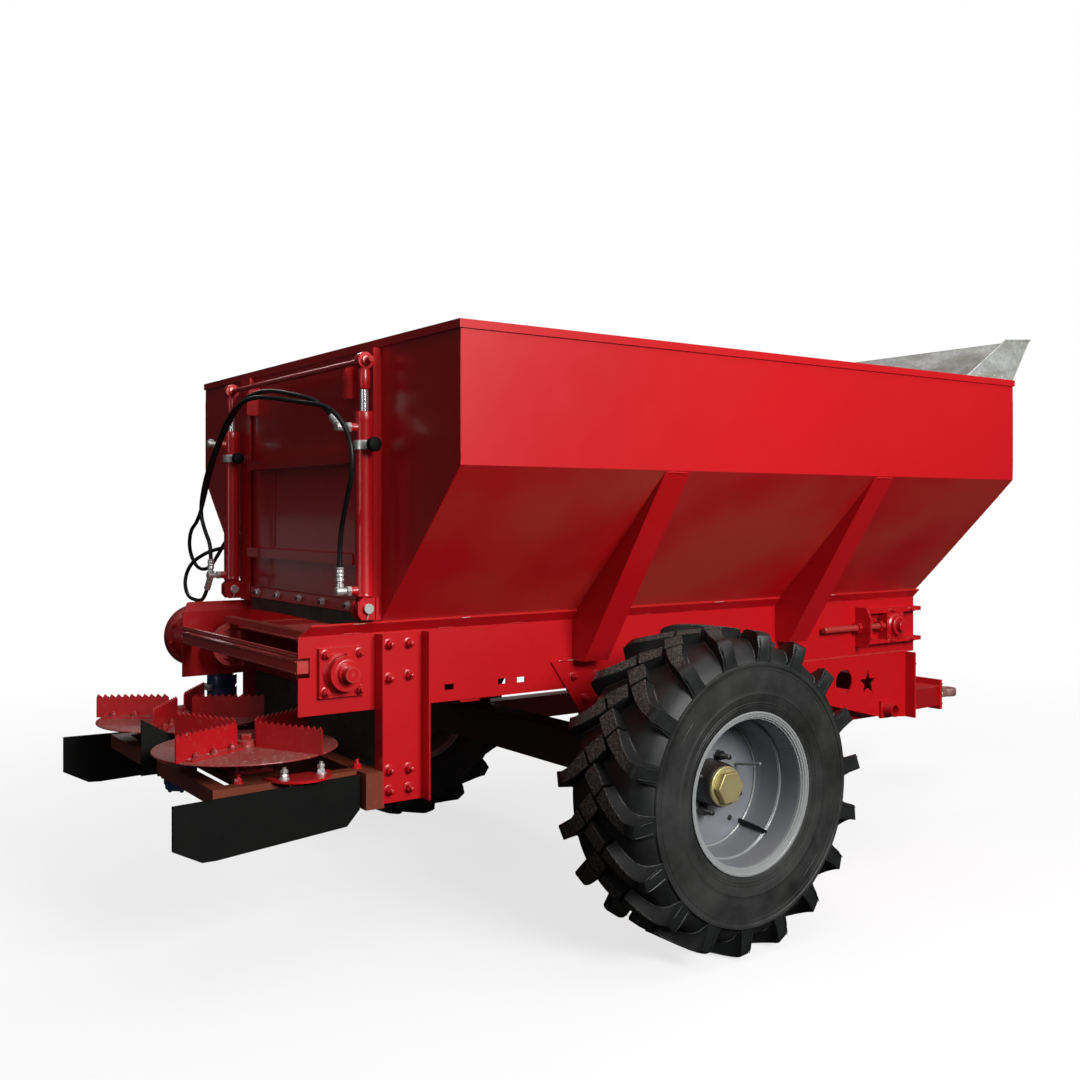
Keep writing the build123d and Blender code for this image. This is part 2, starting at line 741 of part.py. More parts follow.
with BuildPart() as gate:
    block((gate_rear_x, gate_front_x), (-gate_width / 2, gate_width / 2), (gate_bottom_z, gate_top_z))
    for low, high in gate_bars:
        block(
            (gate_rear_x - 30, gate_rear_x), (-gate_width / 2 + 35, gate_width / 2 - 35),
            (gate_bottom_z + low, gate_bottom_z + high),
        )
    for side in (-1, 1):
        y = side * lift_bracket_y
        block((cylinder_x, gate_front_x), (y - 5, y + 5), (gate_top_z - 60, lift_bar_z + 2))
        rod_along_y(cylinder_x, (y - 6, y + 6), lift_bar_z, lift_bar_radius, mode=Mode.SUBTRACT)
save(gate.part, "gate_panel")

with BuildPart() as flap:
    block(
        (gate_rear_x - 8, gate_rear_x), (-gate_width / 2 + 30, gate_width / 2 - 30),
        (gate_bottom_z - 39, gate_bottom_z + 51),
    )
save(flap.part, "gate_flap")

with BuildPart() as lift_bar:
    rod_along_y(cylinder_x, (-cylinder_y - 55, cylinder_y + 55), lift_bar_z, lift_bar_radius)
save(lift_bar.part, "lift_bar")

with BuildPart() as rods:
    for side in (-1, 1):
        y = side * cylinder_y
        rod_along_y(cylinder_x, (y - eye_width / 2, y + eye_width / 2), lift_bar_z, eye_radius)
        rod_along_z(cylinder_x, y, (lift_bar_z - 90, lift_bar_z - 15), 20)
        rod_along_z(cylinder_x, y, (barrel_bottom_z + 60, lift_bar_z - 89), rod_radius)
        rod_along_y(
            cylinder_x, (y - eye_width / 2 - 1, y + eye_width / 2 + 1), lift_bar_z, lift_bar_radius,
            mode=Mode.SUBTRACT,
        )
save(rods.part, "cylinder_rods")

elbow_x = cylinder_x - port_reach
with BuildPart() as barrels:
    for side in (-1, 1):
        y = side * cylinder_y
        rod_along_z(cylinder_x, y, (barrel_bottom_z, barrel_top_z), barrel_radius)
        rod_along_y(cylinder_x, (y - eye_width / 2, y + eye_width / 2), cylinder_pin_z, eye_radius)
        block((cylinder_x - 20, cylinder_x + 20), (y - eye_width / 2, y + eye_width / 2), (cylinder_pin_z, barrel_bottom_z))
        rod_along_z(
            cylinder_x, y, (barrel_bottom_z + 30, barrel_top_z + 1), rod_radius + rod_fit, mode=Mode.SUBTRACT
        )
        rod_along_y(
            cylinder_x, (y - eye_width / 2 - 1, y + eye_width / 2 + 1), cylinder_pin_z, pin_radius,
            mode=Mode.SUBTRACT,
        )
        for height in port_heights:
            block(
                (elbow_x + elbow_radius + nut_reach, cylinder_x - barrel_radius + 8),
                (y - port_radius, y + port_radius), (height - port_radius, height + port_radius),
            )
save(barrels.part, "cylinder_barrels")

with BuildPart() as clamp_rings:
    for side in (-1, 1):
        y = side * cylinder_y
        rod_along_z(cylinder_x, y, (clamp_z - 15, clamp_z + 15), barrel_radius + 4)
        rod_along_z(cylinder_x, y, (clamp_z - 16, clamp_z + 16), barrel_radius, mode=Mode.SUBTRACT)
        block(
            (cylinder_x - 7, cylinder_x + 7), tuple(sorted((y - barrel_radius - 22, y - barrel_radius - 3))),
            (clamp_z - 12, clamp_z + 12),
        )
save(clamp_rings.part, "clamp_rings")

with BuildPart() as knobs:
    for side in (-1, 1):
        y = side * cylinder_y - barrel_radius - 22
        rod_along_y(cylinder_x, (y - 34, y), clamp_z, 24)
save(knobs.part, "clamp_knobs")

lug_plate = 10
cylinder_x_reach = 34
with BuildPart() as lugs:
    lug_low_z = cylinder_pin_z - 37
    lug_high_z = cylinder_pin_z + 34
    block((guide_rear_x - 8, guide_rear_x), (-cylinder_y - 32, -cylinder_y + 32), (lug_low_z, lug_high_z))
    for offset in (-eye_width / 2 - lug_plate, eye_width / 2):
        reach = cylinder_x_reach
        side_plate(
            [
                (guide_rear_x - 8, lug_low_z), (cylinder_x - reach + 14, lug_low_z),
                (cylinder_x - reach, lug_low_z + 18), (cylinder_x - reach, lug_high_z - 16),
                (cylinder_x - reach + 16, lug_high_z), (guide_rear_x - 8, lug_high_z),
            ],
            -cylinder_y + offset + lug_plate, lug_plate,
        )
    rod_along_y(
        cylinder_x, (-cylinder_y - 40, -cylinder_y + 40), cylinder_pin_z, pin_radius, mode=Mode.SUBTRACT
    )
    mirror(about=Plane.XZ)
save(lugs.part, "cylinder_lugs")

with BuildPart() as pins:
    rod_along_y(cylinder_x, (-cylinder_y - 35, -cylinder_y + 35), cylinder_pin_z, pin_radius)
    mirror(about=Plane.XZ)
save(pins.part, "cylinder_pins")

# ---------------------------------------------------------------- hoses and their fittings
port_low, port_high = port_heights
block_y = (cylinder_y + 19, cylinder_y + 69)
block_low_z = 1322
block_high_z = 1360
block_x = hopper_rear_x - 17
ferrule_end_y = block_y[1] + 38
# Routes as (x from the axle, y, z). Each hose is straight runs joined by arcs.
hose_routes = {
    "hose_rod_side": (
        (-1157, -cylinder_y + 56.7, port_high + 35.6), (-1157, -440, 1838), (-1157, -212, 1878),
        (-1157, 18, 1912), (-1157, 235, 1902), (-1157, 430, 1793), (-1157, 590, 1650), (-1152, 695, 1508),
        (-1142, 800, 1425), (-1125, 935, 1390), (-1108, 1005, 1305), (-1088, 965, 1225),
        (-1065, 880, 1220), (-1040, 825, 1290), (-1022, ferrule_end_y + 70, 1360),
        (-1022, ferrule_end_y, 1360),
    ),
    "hose_base_side": (
        (-1157, -cylinder_y + 1.4, port_low + 77), (-1157, -590, 1375), (-1160, -640, 1490),
        (-1165, -705, 1600),
        (-1170, -690, 1720), (-1178, -560, 1812), (-1180, -340, 1838), (-1180, -110, 1872),
        (-1180, 115, 1893), (-1180, 305, 1855), (-1180, 462, 1735), (-1180, 600, 1600),
        (-1178, 662, 1470), (-1168, 632, 1390), (-1157, 595, 1335), (-1157, cylinder_y + 1.1, port_low + 65),
    ),
    "hose_supply": (
        (-1157, cylinder_y + 44, port_low - 56.7), (-1157, 676, 1106), (-1157, 770, 1100), (-1157, 880, 1112),
        (-1152, 935, 1175), (-1135, 905, 1250), (-1085, 835, 1300), (-1022, ferrule_end_y + 65, 1322),
        (-1022, ferrule_end_y, 1322),
    ),
}


def corner_radii(points):
    """Arc radius at each corner, so that an arc uses 0.45 of the shorter run beside it."""
    radii = []
    for before, corner, after in zip(points, points[1:], points[2:]):
        run_in = Vector(*corner) - Vector(*before)
        run_out = Vector(*after) - Vector(*corner)
        half_turn = math.radians(run_in.get_angle(run_out)) / 2
        radii.append(0.45 * min(run_in.length, run_out.length) / math.tan(half_turn))
    return radii


for hose_name, route in hose_routes.items():
    points = [(axle_x + x, y, z) for x, y, z in route]
    radii = corner_radii(points)
    with BuildPart() as hose:
        with BuildLine() as centre:
            FilletPolyline(*points, radius=radii)
        with BuildSketch(Plane(origin=centre.line @ 0, z_dir=centre.line % 0)):
            RegularPolygon(hose_radius, hose_sides)
        sweep()
    save(hose.part, hose_name)
    hose_length = sum(edge.length for edge in centre.edges())
    print(hose_name, "length", round(hose_length), "radii", [round(radius) for radius in radii])


def ferrule(start, end):
    """An end fitting between two (y, z) places in the ports' plane, just short of the hose."""
    run = Vector(0, end[0] - start[0], end[1] - start[1])
    with BuildSketch(Plane(origin=(elbow_x, *start), z_dir=run)) as ring:
        RegularPolygon(ferrule_radius, hose_sides)
    extrude(ring.sketch, amount=run.length - 0.4)


with BuildPart() as fittings:
    for side in (-1, 1):
        for height in port_heights:
            y = side * cylinder_y
            block(
                (elbow_x - elbow_radius, elbow_x + elbow_radius), (y - elbow_radius, y + elbow_radius),
                (height - elbow_radius, height + elbow_radius),
            )
            with BuildSketch(Plane.YZ.offset(elbow_x + elbow_radius)) as nut:
                with Locations((y, height)):
                    RegularPolygon(nut_across / 2, 6, major_radius=False)
            extrude(nut.sketch, amount=nut_reach)
    ferrule((-cylinder_y, port_high), hose_routes["hose_rod_side"][0][1:])
    ferrule((-cylinder_y, port_low), hose_routes["hose_base_side"][0][1:])
    ferrule((cylinder_y, port_low), hose_routes["hose_base_side"][-1][1:])
    ferrule((cylinder_y, port_low), hose_routes["hose_supply"][0][1:])
    block((hopper_rear_x - 32, hopper_rear_x), block_y, (block_low_z - 22, block_high_z + 22))
    for height in (block_low_z, block_high_z):
        with BuildSketch(Plane.XZ.offset(-ferrule_end_y)) as ring:
            with Locations((block_x, height)):
                RegularPolygon(ferrule_radius, hose_sides)
        extrude(ring.sketch, amount=ferrule_end_y - block_y[1])
save(fittings.part, "hose_fittings")

# ---------------------------------------------------------------- drawbar
arm_width = 60
arm_height = 100
head_half = 95
with BuildPart() as drawbar:
    arm_start = subframe_front_x
    arm_drop = subframe_front_z - (eye_z - arm_height / 2)
    for side in (-1, 1):
        with BuildSketch(Plane.YZ.offset(arm_start)):
            with Locations((side * rail_y, subframe_front_z + arm_height / 2)):
                Rectangle(rail_width, arm_height)
        with BuildSketch(Plane.YZ.offset(head_x)):
            with Locations((side * (head_half - arm_width / 2 - 10), subframe_front_z - arm_drop + arm_height / 2)):
                Rectangle(arm_width, arm_height)
        loft()
    block((head_x, head_x + 22), (-head_half, head_half), (eye_z - 70, eye_z + 90))
    with BuildSketch(Plane.XY.offset(eye_z + arm_height / 2)):
        Polygon(
            (head_x - 260, -150), (head_x, -head_half), (head_x, head_half), (head_x - 260, 150), align=None
        )
    extrude(amount=10)
save(drawbar.part, "drawbar")

with BuildPart() as tow_eye:
    block((head_x + 22, eye_x - 30), (-38, 38), (eye_z - tow_eye_height / 2, eye_z + tow_eye_height / 2))
    rod_along_z(eye_x, 0, (eye_z - tow_eye_height / 2, eye_z + tow_eye_height / 2), tow_eye_radius)
    rod_along_z(
        eye_x, 0, (eye_z - tow_eye_height, eye_z + tow_eye_height), tow_eye_bore, mode=Mode.SUBTRACT
    )
save(tow_eye.part, "tow_eye")

# ---------------------------------------------------------------- jack stubs and jack
with BuildPart() as stubs:
    rod_along_y(jack_x, (-frame_half - stub_reach, -frame_half), jack_z, stub_radius)
    block(
        (jack_x - stub_radius - 9, jack_x + stub_radius + 9), (-frame_half - 14, -frame_half),
        (jack_z - stub_radius - 9, jack_z + stub_radius + 9),
    )
    rod_along_y(jack_x, (-frame_half - stub_reach - 1, -frame_half), jack_z, stub_radius - 6, mode=Mode.SUBTRACT)
    mirror(about=Plane.XZ)
save(stubs.part, "jack_stubs")

jack_fit = 0.05
jack_inner = jack_tube_width - 2 * jack_tube_wall
jack_leg_width = jack_inner - 2 * jack_leg_fit


def jack_post(width, z, mode=Mode.ADD):
    """A square post on the jack's axis between z = (low, high)."""
    block((jack_x - width / 2, jack_x + width / 2), (jack_y - width / 2, jack_y + width / 2), z, mode=mode)


with BuildPart() as jack_tube:
    jack_post(jack_tube_width, (jack_tube_bottom_z, jack_top_z))
    rod_along_y(jack_x, (frame_half + 16, jack_y - jack_tube_width / 2), jack_z, stub_radius + 8)
    jack_post(jack_inner, (jack_tube_bottom_z - 1, jack_top_z - 12), mode=Mode.SUBTRACT)
    rod_along_y(
        jack_x, (frame_half, frame_half + stub_reach + 6), jack_z, stub_radius + jack_fit, mode=Mode.SUBTRACT
    )
    rod_along_z(jack_x, jack_y, (jack_top_z, jack_top_z + 34), 14)
    block((jack_x - 8, jack_x + 8), (jack_y, jack_y + 130), (jack_top_z + 34, jack_top_z + 42))
    block((jack_x - 8, jack_x + 8), (jack_y + 112, jack_y + 130), (jack_top_z + 42, jack_top_z + 122))
save(jack_tube.part, "jack_tube")

with BuildPart() as jack_leg:
    jack_post(jack_leg_width, (jack_foot_sheet, jack_leg_top_z))
    jack_post(jack_foot_width, (0, jack_foot_sheet))
save(jack_leg.part, "jack_leg")

# ---------------------------------------------------------------- wheels
wheel_y = wheel_track / 2
tyre_radius = tyre_diameter / 2
tyre_half = tyre_width / 2
wall_half = tyre_half - 1
disc_face = hub_face_inset
turn = math.radians(lug_slant)


def lug_top(along, radius):
    """Height of a lug's top in its own plane, with its outer corner at that radius."""
    corner = abs(along) * math.sin(turn) + lug_width / 2 * math.cos(turn)
    return math.sqrt(radius**2 - corner**2)


# Top of a lug: (distance along it from the tyre's middle, radius of its tip)
lug_tops = ((-26, tyre_radius), (90, tyre_radius), (172, tyre_radius - 4), (226, 520), (248, 474))
lug_outline = [(along, lug_top(along, radius)) for along, radius in lug_tops] + [(248, 418), (-26, 418)]

# Faceted rings about the wheel's axis share one polygon, so that the tyre and the rim meet flat.


def ring_face(outer, inner):
    """A polygonal ring between two radii."""
    RegularPolygon(outer, tread_sides)
    if inner:
        RegularPolygon(inner, tread_sides, mode=Mode.SUBTRACT)


def ring(middle, offsets, outer, inner):
    """A faceted ring between two offsets from the wheel's middle."""
    with BuildSketch(middle.offset(offsets[0])) as face:
        ring_face(outer, inner)
    extrude(face.sketch, amount=offsets[1] - offsets[0])


def polygon_corners(middle, offset, radius):
    """Corners of a regular polygon about the wheel's axis, at an offset from the wheel's middle."""
    steps = [2 * math.pi * index / tread_sides for index in range(tread_sides)]
    return [middle.from_local_coords((radius * math.cos(a), radius * math.sin(a), offset)) for a in steps]


def tapered(middle, face, offsets, radii, mode=Mode.ADD):
    """A flat-sided solid on one side that narrows from one radius to another between two offsets."""
    start, end = (polygon_corners(middle, face * offset, radius) for offset, radius in zip(offsets, radii))
    flats = [Face(Wire.make_polygon(start)), Face(Wire.make_polygon(end))]
    for index in range(tread_sides):
        after = (index + 1) % tread_sides
        flats.append(Face(Wire.make_polygon([start[index], start[after], end[after], end[index]])))
    add(Solid(Shell(flats)), mode=mode)


for side_name, side in (("right", -1), ("left", 1)):
    axis = Axis((axle_x, side * wheel_y, axle_z), (0, 1, 0))
    # the middle plane's normal points outwards
    middle = Plane(origin=(axle_x, side * wheel_y, axle_z), x_dir=(1, 0, 0), z_dir=(0, side, 0))
    with BuildPart() as tyre:
        ring(middle, (-shoulder_half, shoulder_half), tread_base_radius, 0)
        for face in (1, -1):
            tapered(middle, face, (shoulder_half, wall_half), (tread_base_radius, shoulder_radius))
        for face in (1, -1):
            tapered(
                middle, face, (wall_half, bead_half), (dish_rim_radius, bead_radius), mode=Mode.SUBTRACT
            )
        with BuildSketch(middle.offset(-wall_half)) as bore:
            ring_face(bead_radius, 0)
        extrude(bore.sketch, amount=2 * wall_half, mode=Mode.SUBTRACT)
        for face in (1, -1):
            along = Vector(-math.sin(turn), face * math.cos(turn), 0)
            lug_plane = Plane(
                origin=(axle_x, side * wheel_y, axle_z), x_dir=along, z_dir=along.cross(Vector(0, 0, 1))
            )
            with BuildSketch(lug_plane) as lug_side:
                Polygon(*lug_outline, align=None)
            lug = extrude(lug_side.sketch, amount=lug_width / 2, both=True, mode=Mode.PRIVATE)
            offset = 0 if face > 0 else 0.5
            add([lug.rotate(axis, 360 / lug_pairs * (index + offset)) for index in range(lug_pairs)])
    save(tyre.part, f"tyre_{side_name}")

    with BuildPart() as rim:
        ring(middle, (-rim_half, rim_half), bead_radius, well_radius)
        for face in (1, -1):
            lip = tuple(sorted((face * (rim_half - rim_lip), face * rim_half)))
            ring(middle, lip, rim_radius, well_radius)
        ring(middle, (disc_face, dish_step), well_radius + 1, dish_radius)
        with BuildSketch(middle.offset(disc_face - wheel_disc)) as web:
            ring_face(well_radius + 1, 0)
            Circle(hub_radius, mode=Mode.SUBTRACT)
        extrude(web.sketch, amount=wheel_disc)
    save(rim.part, f"rim_{side_name}")

    with BuildPart() as hub:
        def out(low, high):
            """Offsets outwards from the wheel's middle, as a (low, high) pair along Y."""
            return tuple(sorted((side * (wheel_y + low), side * (wheel_y + high))))

        inner = disc_face - wheel_disc
        rod_along_y(axle_x, out(inner - drum_width, inner), axle_z, drum_radius)
        rod_along_y(axle_x, out(inner, disc_face + 40), axle_z, hub_radius)
        cap = Plane(
            origin=(axle_x, side * (wheel_y + disc_face + 40), axle_z), x_dir=(1, 0, 0), z_dir=(0, side, 0)
        )
        with BuildSketch(cap):
            RegularPolygon(cap_across / 2, 6, major_radius=False)
        extrude(amount=cap_reach - 40)
        rod_along_y(
            axle_x, out(inner - drum_width - 1, inner + 1), axle_z, spindle_radius + 0.05, mode=Mode.SUBTRACT
        )
    save(hub.part, f"hub_{side_name}")
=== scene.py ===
"""Blender scene for the trailed fertilizer spreader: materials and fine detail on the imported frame.

All lengths are in metres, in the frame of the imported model: +X forward, +Y left, +Z up. Only the
tables of sections are written in millimetres, and mm() turns them into metres.
"""
import json
import math
import random

import bpy
import bmesh
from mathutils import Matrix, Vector


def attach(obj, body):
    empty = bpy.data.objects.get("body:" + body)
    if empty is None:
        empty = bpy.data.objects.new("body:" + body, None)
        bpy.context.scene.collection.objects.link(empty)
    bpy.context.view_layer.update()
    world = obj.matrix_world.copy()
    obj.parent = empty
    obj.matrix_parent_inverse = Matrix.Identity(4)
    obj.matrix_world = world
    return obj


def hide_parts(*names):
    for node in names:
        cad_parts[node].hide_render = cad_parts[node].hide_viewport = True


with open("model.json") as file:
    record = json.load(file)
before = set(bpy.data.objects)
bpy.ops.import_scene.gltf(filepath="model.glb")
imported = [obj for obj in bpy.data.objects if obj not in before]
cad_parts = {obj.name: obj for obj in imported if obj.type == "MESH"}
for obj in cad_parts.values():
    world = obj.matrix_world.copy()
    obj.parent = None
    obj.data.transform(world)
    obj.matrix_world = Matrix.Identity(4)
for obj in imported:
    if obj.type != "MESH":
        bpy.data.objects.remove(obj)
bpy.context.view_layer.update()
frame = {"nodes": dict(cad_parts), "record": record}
NODES = frame["nodes"]
SLOT_OF = {entry["node"]: entry["material_slot"] for entry in frame["record"]["subparts"]}
MATERIALS = {}

X, Y, Z = Vector((1, 0, 0)), Vector((0, 1, 0)), Vector((0, 0, 1))
SIDES = (-1, 1)
SIDE_OF = {"right": -1, "left": 1}

AXLE_X = -0.597
AXLE_Z = 0.5375
WHEEL_Y = 1.1
HOPPER_REAR_X = AXLE_X - 1.005
HOPPER_FRONT_X = HOPPER_REAR_X + 2.8
HOPPER_HALF = 1.086
HOPPER_TOP_Z = 2.038
HOPPER_BEND_Z = 1.6073
FRAME_HALF = 0.56
CYLINDER_X = HOPPER_REAR_X - 0.066
CYLINDER_Y = 0.593
ELBOW_X = CYLINDER_X - 0.086
PORT_HEIGHTS = (1.213, 1.742)


def new_object(name, data):
    obj = bpy.data.objects.new(name, data)
    bpy.context.scene.collection.objects.link(obj)
    return obj


# ---- camera
def make_camera():
    """The camera that the photograph's perspective gives: level, 1.467 m above the ground."""
    data = bpy.data.cameras.new("camera")
    data.sensor_width = 36.0
    data.lens = 38.89
    data.shift_y = -0.0257
    data.clip_end = 200.0
    camera = new_object("camera", data)
    camera.location = (-3.4012, -4.0205, 1.4671)
    camera.rotation_euler = (math.radians(90), 0, math.radians(-35.4))
    bpy.context.scene.camera = camera


# ---- shader nodes
def rgba(colour):
    """A colour of three numbers, or of one for a grey, with its alpha. A node's output stays as it is."""
    if isinstance(colour, bpy.types.NodeSocket):
        return colour
    return (*colour, 1.0) if isinstance(colour, tuple) else (colour, colour, colour, 1.0)


class Look:
    """The nodes of a material or world. The methods add nodes and give back the output to use."""

    def __init__(self, owner):
        owner.use_nodes = True
        self.tree = owner.node_tree
        self.shader = self.tree.nodes.get("Principled BSDF")

    def feed(self, node, inputs):
        """Sets a node's inputs to values, or links them to other nodes' outputs."""
        for key, value in inputs.items():
            if isinstance(value, bpy.types.NodeSocket):
                self.tree.links.new(value, node.inputs[key])
            else:
                node.inputs[key].default_value = value
        return node

    def add(self, kind, inputs):
        return self.feed(self.tree.nodes.new("ShaderNode" + kind), inputs)

    def place(self, space="Object"):
        """Coordinates, by default in the frame's own, so that a pattern stays on its piece."""
        return self.add("TexCoord", {}).outputs[space]

    def split(self, vector):
        return self.add("SeparateXYZ", {"Vector": vector}).outputs

    def normal_z(self):
        return self.split(self.add("NewGeometry", {}).outputs["Normal"])["Z"]

    def noise(self, scale, detail=4.0, stretch=(1, 1, 1), rough=0.5):
        place = self.add("Mapping", {"Vector": self.place(), "Scale": stretch}).outputs["Vector"]
        inputs = {"Vector": place, "Scale": scale, "Detail": detail, "Roughness": rough}
        return self.add("TexNoise", inputs).outputs["Fac"]

    def ramp(self, source, stops):
        """Colours or greys at places of a source that runs from 0 to 1."""
        node = self.add("ValToRGB", {"Fac": source})
        elements = node.color_ramp.elements
        while len(elements) < len(stops):
            elements.new(1.0)
        for element, (position, colour) in zip(elements, stops):
            element.position = position
            element.color = rgba(colour)
        return node.outputs["Color"]

    def mix(self, factor, first, second):
        node = self.tree.nodes.new("ShaderNodeMix")
        node.data_type = "RGBA"
        return self.feed(node, {0: factor, 6: rgba(first), 7: rgba(second)}).outputs[2]

    def math(self, operation, first, second=0.5, clamp=False):
        node = self.add("Math", {0: first, 1: second})
        node.operation = operation
        node.use_clamp = clamp
        return node.outputs["Value"]

    def span(self, source, low=0.0, high=1.0, start=0.0, end=1.0):
        """A source's run from start to end, turned into one from low to high."""
        inputs = {"Value": source, "From Min": start, "From Max": end, "To Min": low, "To Max": high}
        return self.add("MapRange", inputs).outputs["Result"]

    def bump(self, height, strength, distance, below=None):
        inputs = {"Height": height, "Strength": strength, "Distance": distance}
        if below:
            inputs["Normal"] = below
        return self.add("Bump", inputs).outputs["Normal"]

    def from_axle(self):
        """How far a point is from the axle's line."""
        place = self.split(self.place())
        off_x = self.math("SUBTRACT", place["X"], AXLE_X)
        off_z = self.math("SUBTRACT", place["Z"], AXLE_Z)
        square = self.math("ADD", self.math("MULTIPLY", off_x, off_x), self.math("MULTIPLY", off_z, off_z))
        return self.math("SQRT", square)


def new_look(name):
    MATERIALS[name] = bpy.data.materials.new(name)
    return Look(MATERIALS[name])


# ---- light and floor
def area_light(name, place, target, size, power, diffuse=True):
    data = bpy.data.lights.new(name, "AREA")
    data.shape = "RECTANGLE"
    data.size, data.size_y = size
    data.energy = power
    light = new_object(name, data)
    light.location = place
    light.rotation_euler = (Vector(target) - Vector(place)).to_track_quat("-Z", "Y").to_euler()
    light.visible_diffuse = diffuse


def make_sky():
    """A white backdrop, and for light a sky that is bright above and dim at the horizon and below."""
    world = bpy.data.worlds.new("studio")
    look = Look(world)
    soft = look.tree.nodes["Background"]
    white = look.add("Background", {"Color": rgba(1.0), "Strength": 1.0})
    place = look.split(look.place("Generated"))
    height = look.span(place["Z"], start=-1.0)
    sky = [(0.0, 0.05), (0.49, 0.06), (0.56, 0.12), (0.75, 0.55), (1.0, 1.0)]
    look.feed(soft, {"Color": look.ramp(height, sky), "Strength": look.span(place["Y"], 0.6, 0.16, -1.0)})
    seen = look.add("LightPath", {}).outputs["Is Camera Ray"]
    mix = look.add("MixShader", {"Fac": seen, 1: soft.outputs["Background"], 2: white.outputs["Background"]})
    look.feed(look.tree.nodes["World Output"], {"Surface": mix.outputs["Shader"]})
    bpy.context.scene.world = world


def make_floor():
    """A pale floor that fades into the backdrop. It takes shadows and throws no light back on the piece."""
    half = 60
    mesh = bpy.data.meshes.new("floor")
    corners = [(-half, -half, 0), (half, -half, 0), (half, half, 0), (-half, half, 0)]
    mesh.from_pydata(corners, [], [(0, 1, 2, 3)])
    floor = new_object("floor", mesh)
    floor.location.z = -0.001
    floor.visible_diffuse = False
    floor.visible_glossy = False
    look = new_look("floor")
    distance = look.add("VectorMath", {0: look.place()})
    distance.operation = "LENGTH"
    near, far = 2.0, 7.0
    inputs = {"Value": distance.outputs["Value"], "From Min": near, "From Max": far, "To Min": 0.74}
    fade = look.add("MapRange", inputs)
    fade.interpolation_type = "SMOOTHSTEP"
    glow = fade.outputs["Result"]
    tone = look.ramp(look.noise(0.7, 3.0), [(0.3, 0.92), (0.7, 0.98)])
    look.feed(look.shader, {
        "Base Color": look.mix(glow, tone, 0.0), "Roughness": 1.0, "Specular IOR Level": 0.0,
        "Emission Color": rgba(1.0), "Emission Strength": glow,
    })
    mesh.materials.append(MATERIALS["floor"])


def make_studio():
    make_sky()
    area_light("key", (-0.5, -8.2, 4.4), (0.2, -0.4, 1.1), (3.6, 3.0), 740)
    area_light("top", (0.0, -1.5, 7.0), (0.0, 0.0, 0.8), (6.0, 5.0), 150)
    area_light("back", (2.6, 9.0, 4.6), (0.4, 0.6, 1.0), (3.6, 3.0), 330)
    area_light("strip", (-6.0, -1.4, 2.0), (-1.6, -0.2, 1.4), (0.7, 3.2), 22, diffuse=False)
    area_light("card", (-5.18, 7.6, 0.95), (-1.6, 0.0, 1.3), (1.2, 0.9), 1.0, diffuse=False)
    make_floor()


# ---- materials
def paint(
    name, colour, shade, rough=(0.28, 0.38), coat=0.35, dust=0.12, wave=0.05, specks=0.0, grit_scale=95.0,
    painted_ground_light=0.0,
):
    """Sprayed enamel: close tones, sheet waviness, orange peel, dust on what faces up, and specks. It can
    also paint light from the ground on what faces down.
    """
    look = new_look(name)
    patches = look.noise(7.0, 8.0, rough=0.65)
    facing_up = look.math("MAXIMUM", look.normal_z(), 0.0)
    amount = look.math("MULTIPLY", look.math("MULTIPLY", facing_up, patches), dust * 2)
    base = look.mix(amount, look.ramp(look.noise(1.1), [(0.3, shade), (0.7, colour)]), (0.2, 0.11, 0.09))
    if specks:
        grit = look.noise(grit_scale, 6.0, rough=0.7)
        base = look.mix(look.ramp(grit, [(0.56, 0), (0.66, specks)]), base, (0.5, 0.36, 0.32))
    if painted_ground_light:
        # painted light from the ground: a lighter, duller tone in broad clouds, whole on what faces down by
        # 45 degrees or more
        facing_down = look.math("MULTIPLY", look.normal_z(), -1.5, clamp=True)
        clouds = look.ramp(look.noise(1.5, 3.0), [(0.38, 0), (0.64, painted_ground_light)])
        base = look.mix(look.math("MULTIPLY", facing_down, clouds), base, (0.48, 0.07, 0.04))
    waves = look.bump(look.noise(3.2, 2.0), wave, 0.02)
    look.feed(look.shader, {
        "Base Color": base, "Roughness": look.span(patches, *rough), "Coat Weight": coat,
        "Coat Roughness": 0.1, "Normal": look.bump(look.noise(160.0, 2.0), 0.06, 0.0006, waves),
    })


def metal(name, colour, shade, rough=(0.25, 0.5), metallic=1.0, scale=30.0, bump=0.1):
    """Bare or plated metal with uneven tone and fine scratches."""
    look = new_look(name)
    tone = look.noise(scale, 6.0)
    look.feed(look.shader, {
        "Base Color": look.ramp(tone, [(0.3, shade), (0.7, colour)]), "Metallic": metallic,
        "Roughness": look.span(tone, rough[1], rough[0]),
        "Normal": look.bump(look.noise(scale * 12, 3.0), bump, 0.0006),
    })


def rubber(
    name, colour, shade, rough=(0.45, 0.7), dust=0.0, dust_colour=(0.16, 0.14, 0.12), scale=14.0, shine=0.5
):
    """Rubber: two close tones, fine grain, and dry dust in patches."""
    look = new_look(name)
    tone = look.noise(scale, 6.0)
    base = look.ramp(tone, [(0.3, shade), (0.7, colour)])
    if dust:
        spread = look.ramp(look.noise(5.0, 9.0, rough=0.7), [(0.4, 0), (0.7, dust)])
        base = look.mix(spread, base, dust_colour)
    look.feed(look.shader, {
        "Base Color": base, "Roughness": look.span(tone, *rough), "Specular IOR Level": shine,
        "Normal": look.bump(look.noise(260.0), 0.12, 0.0008),
    })


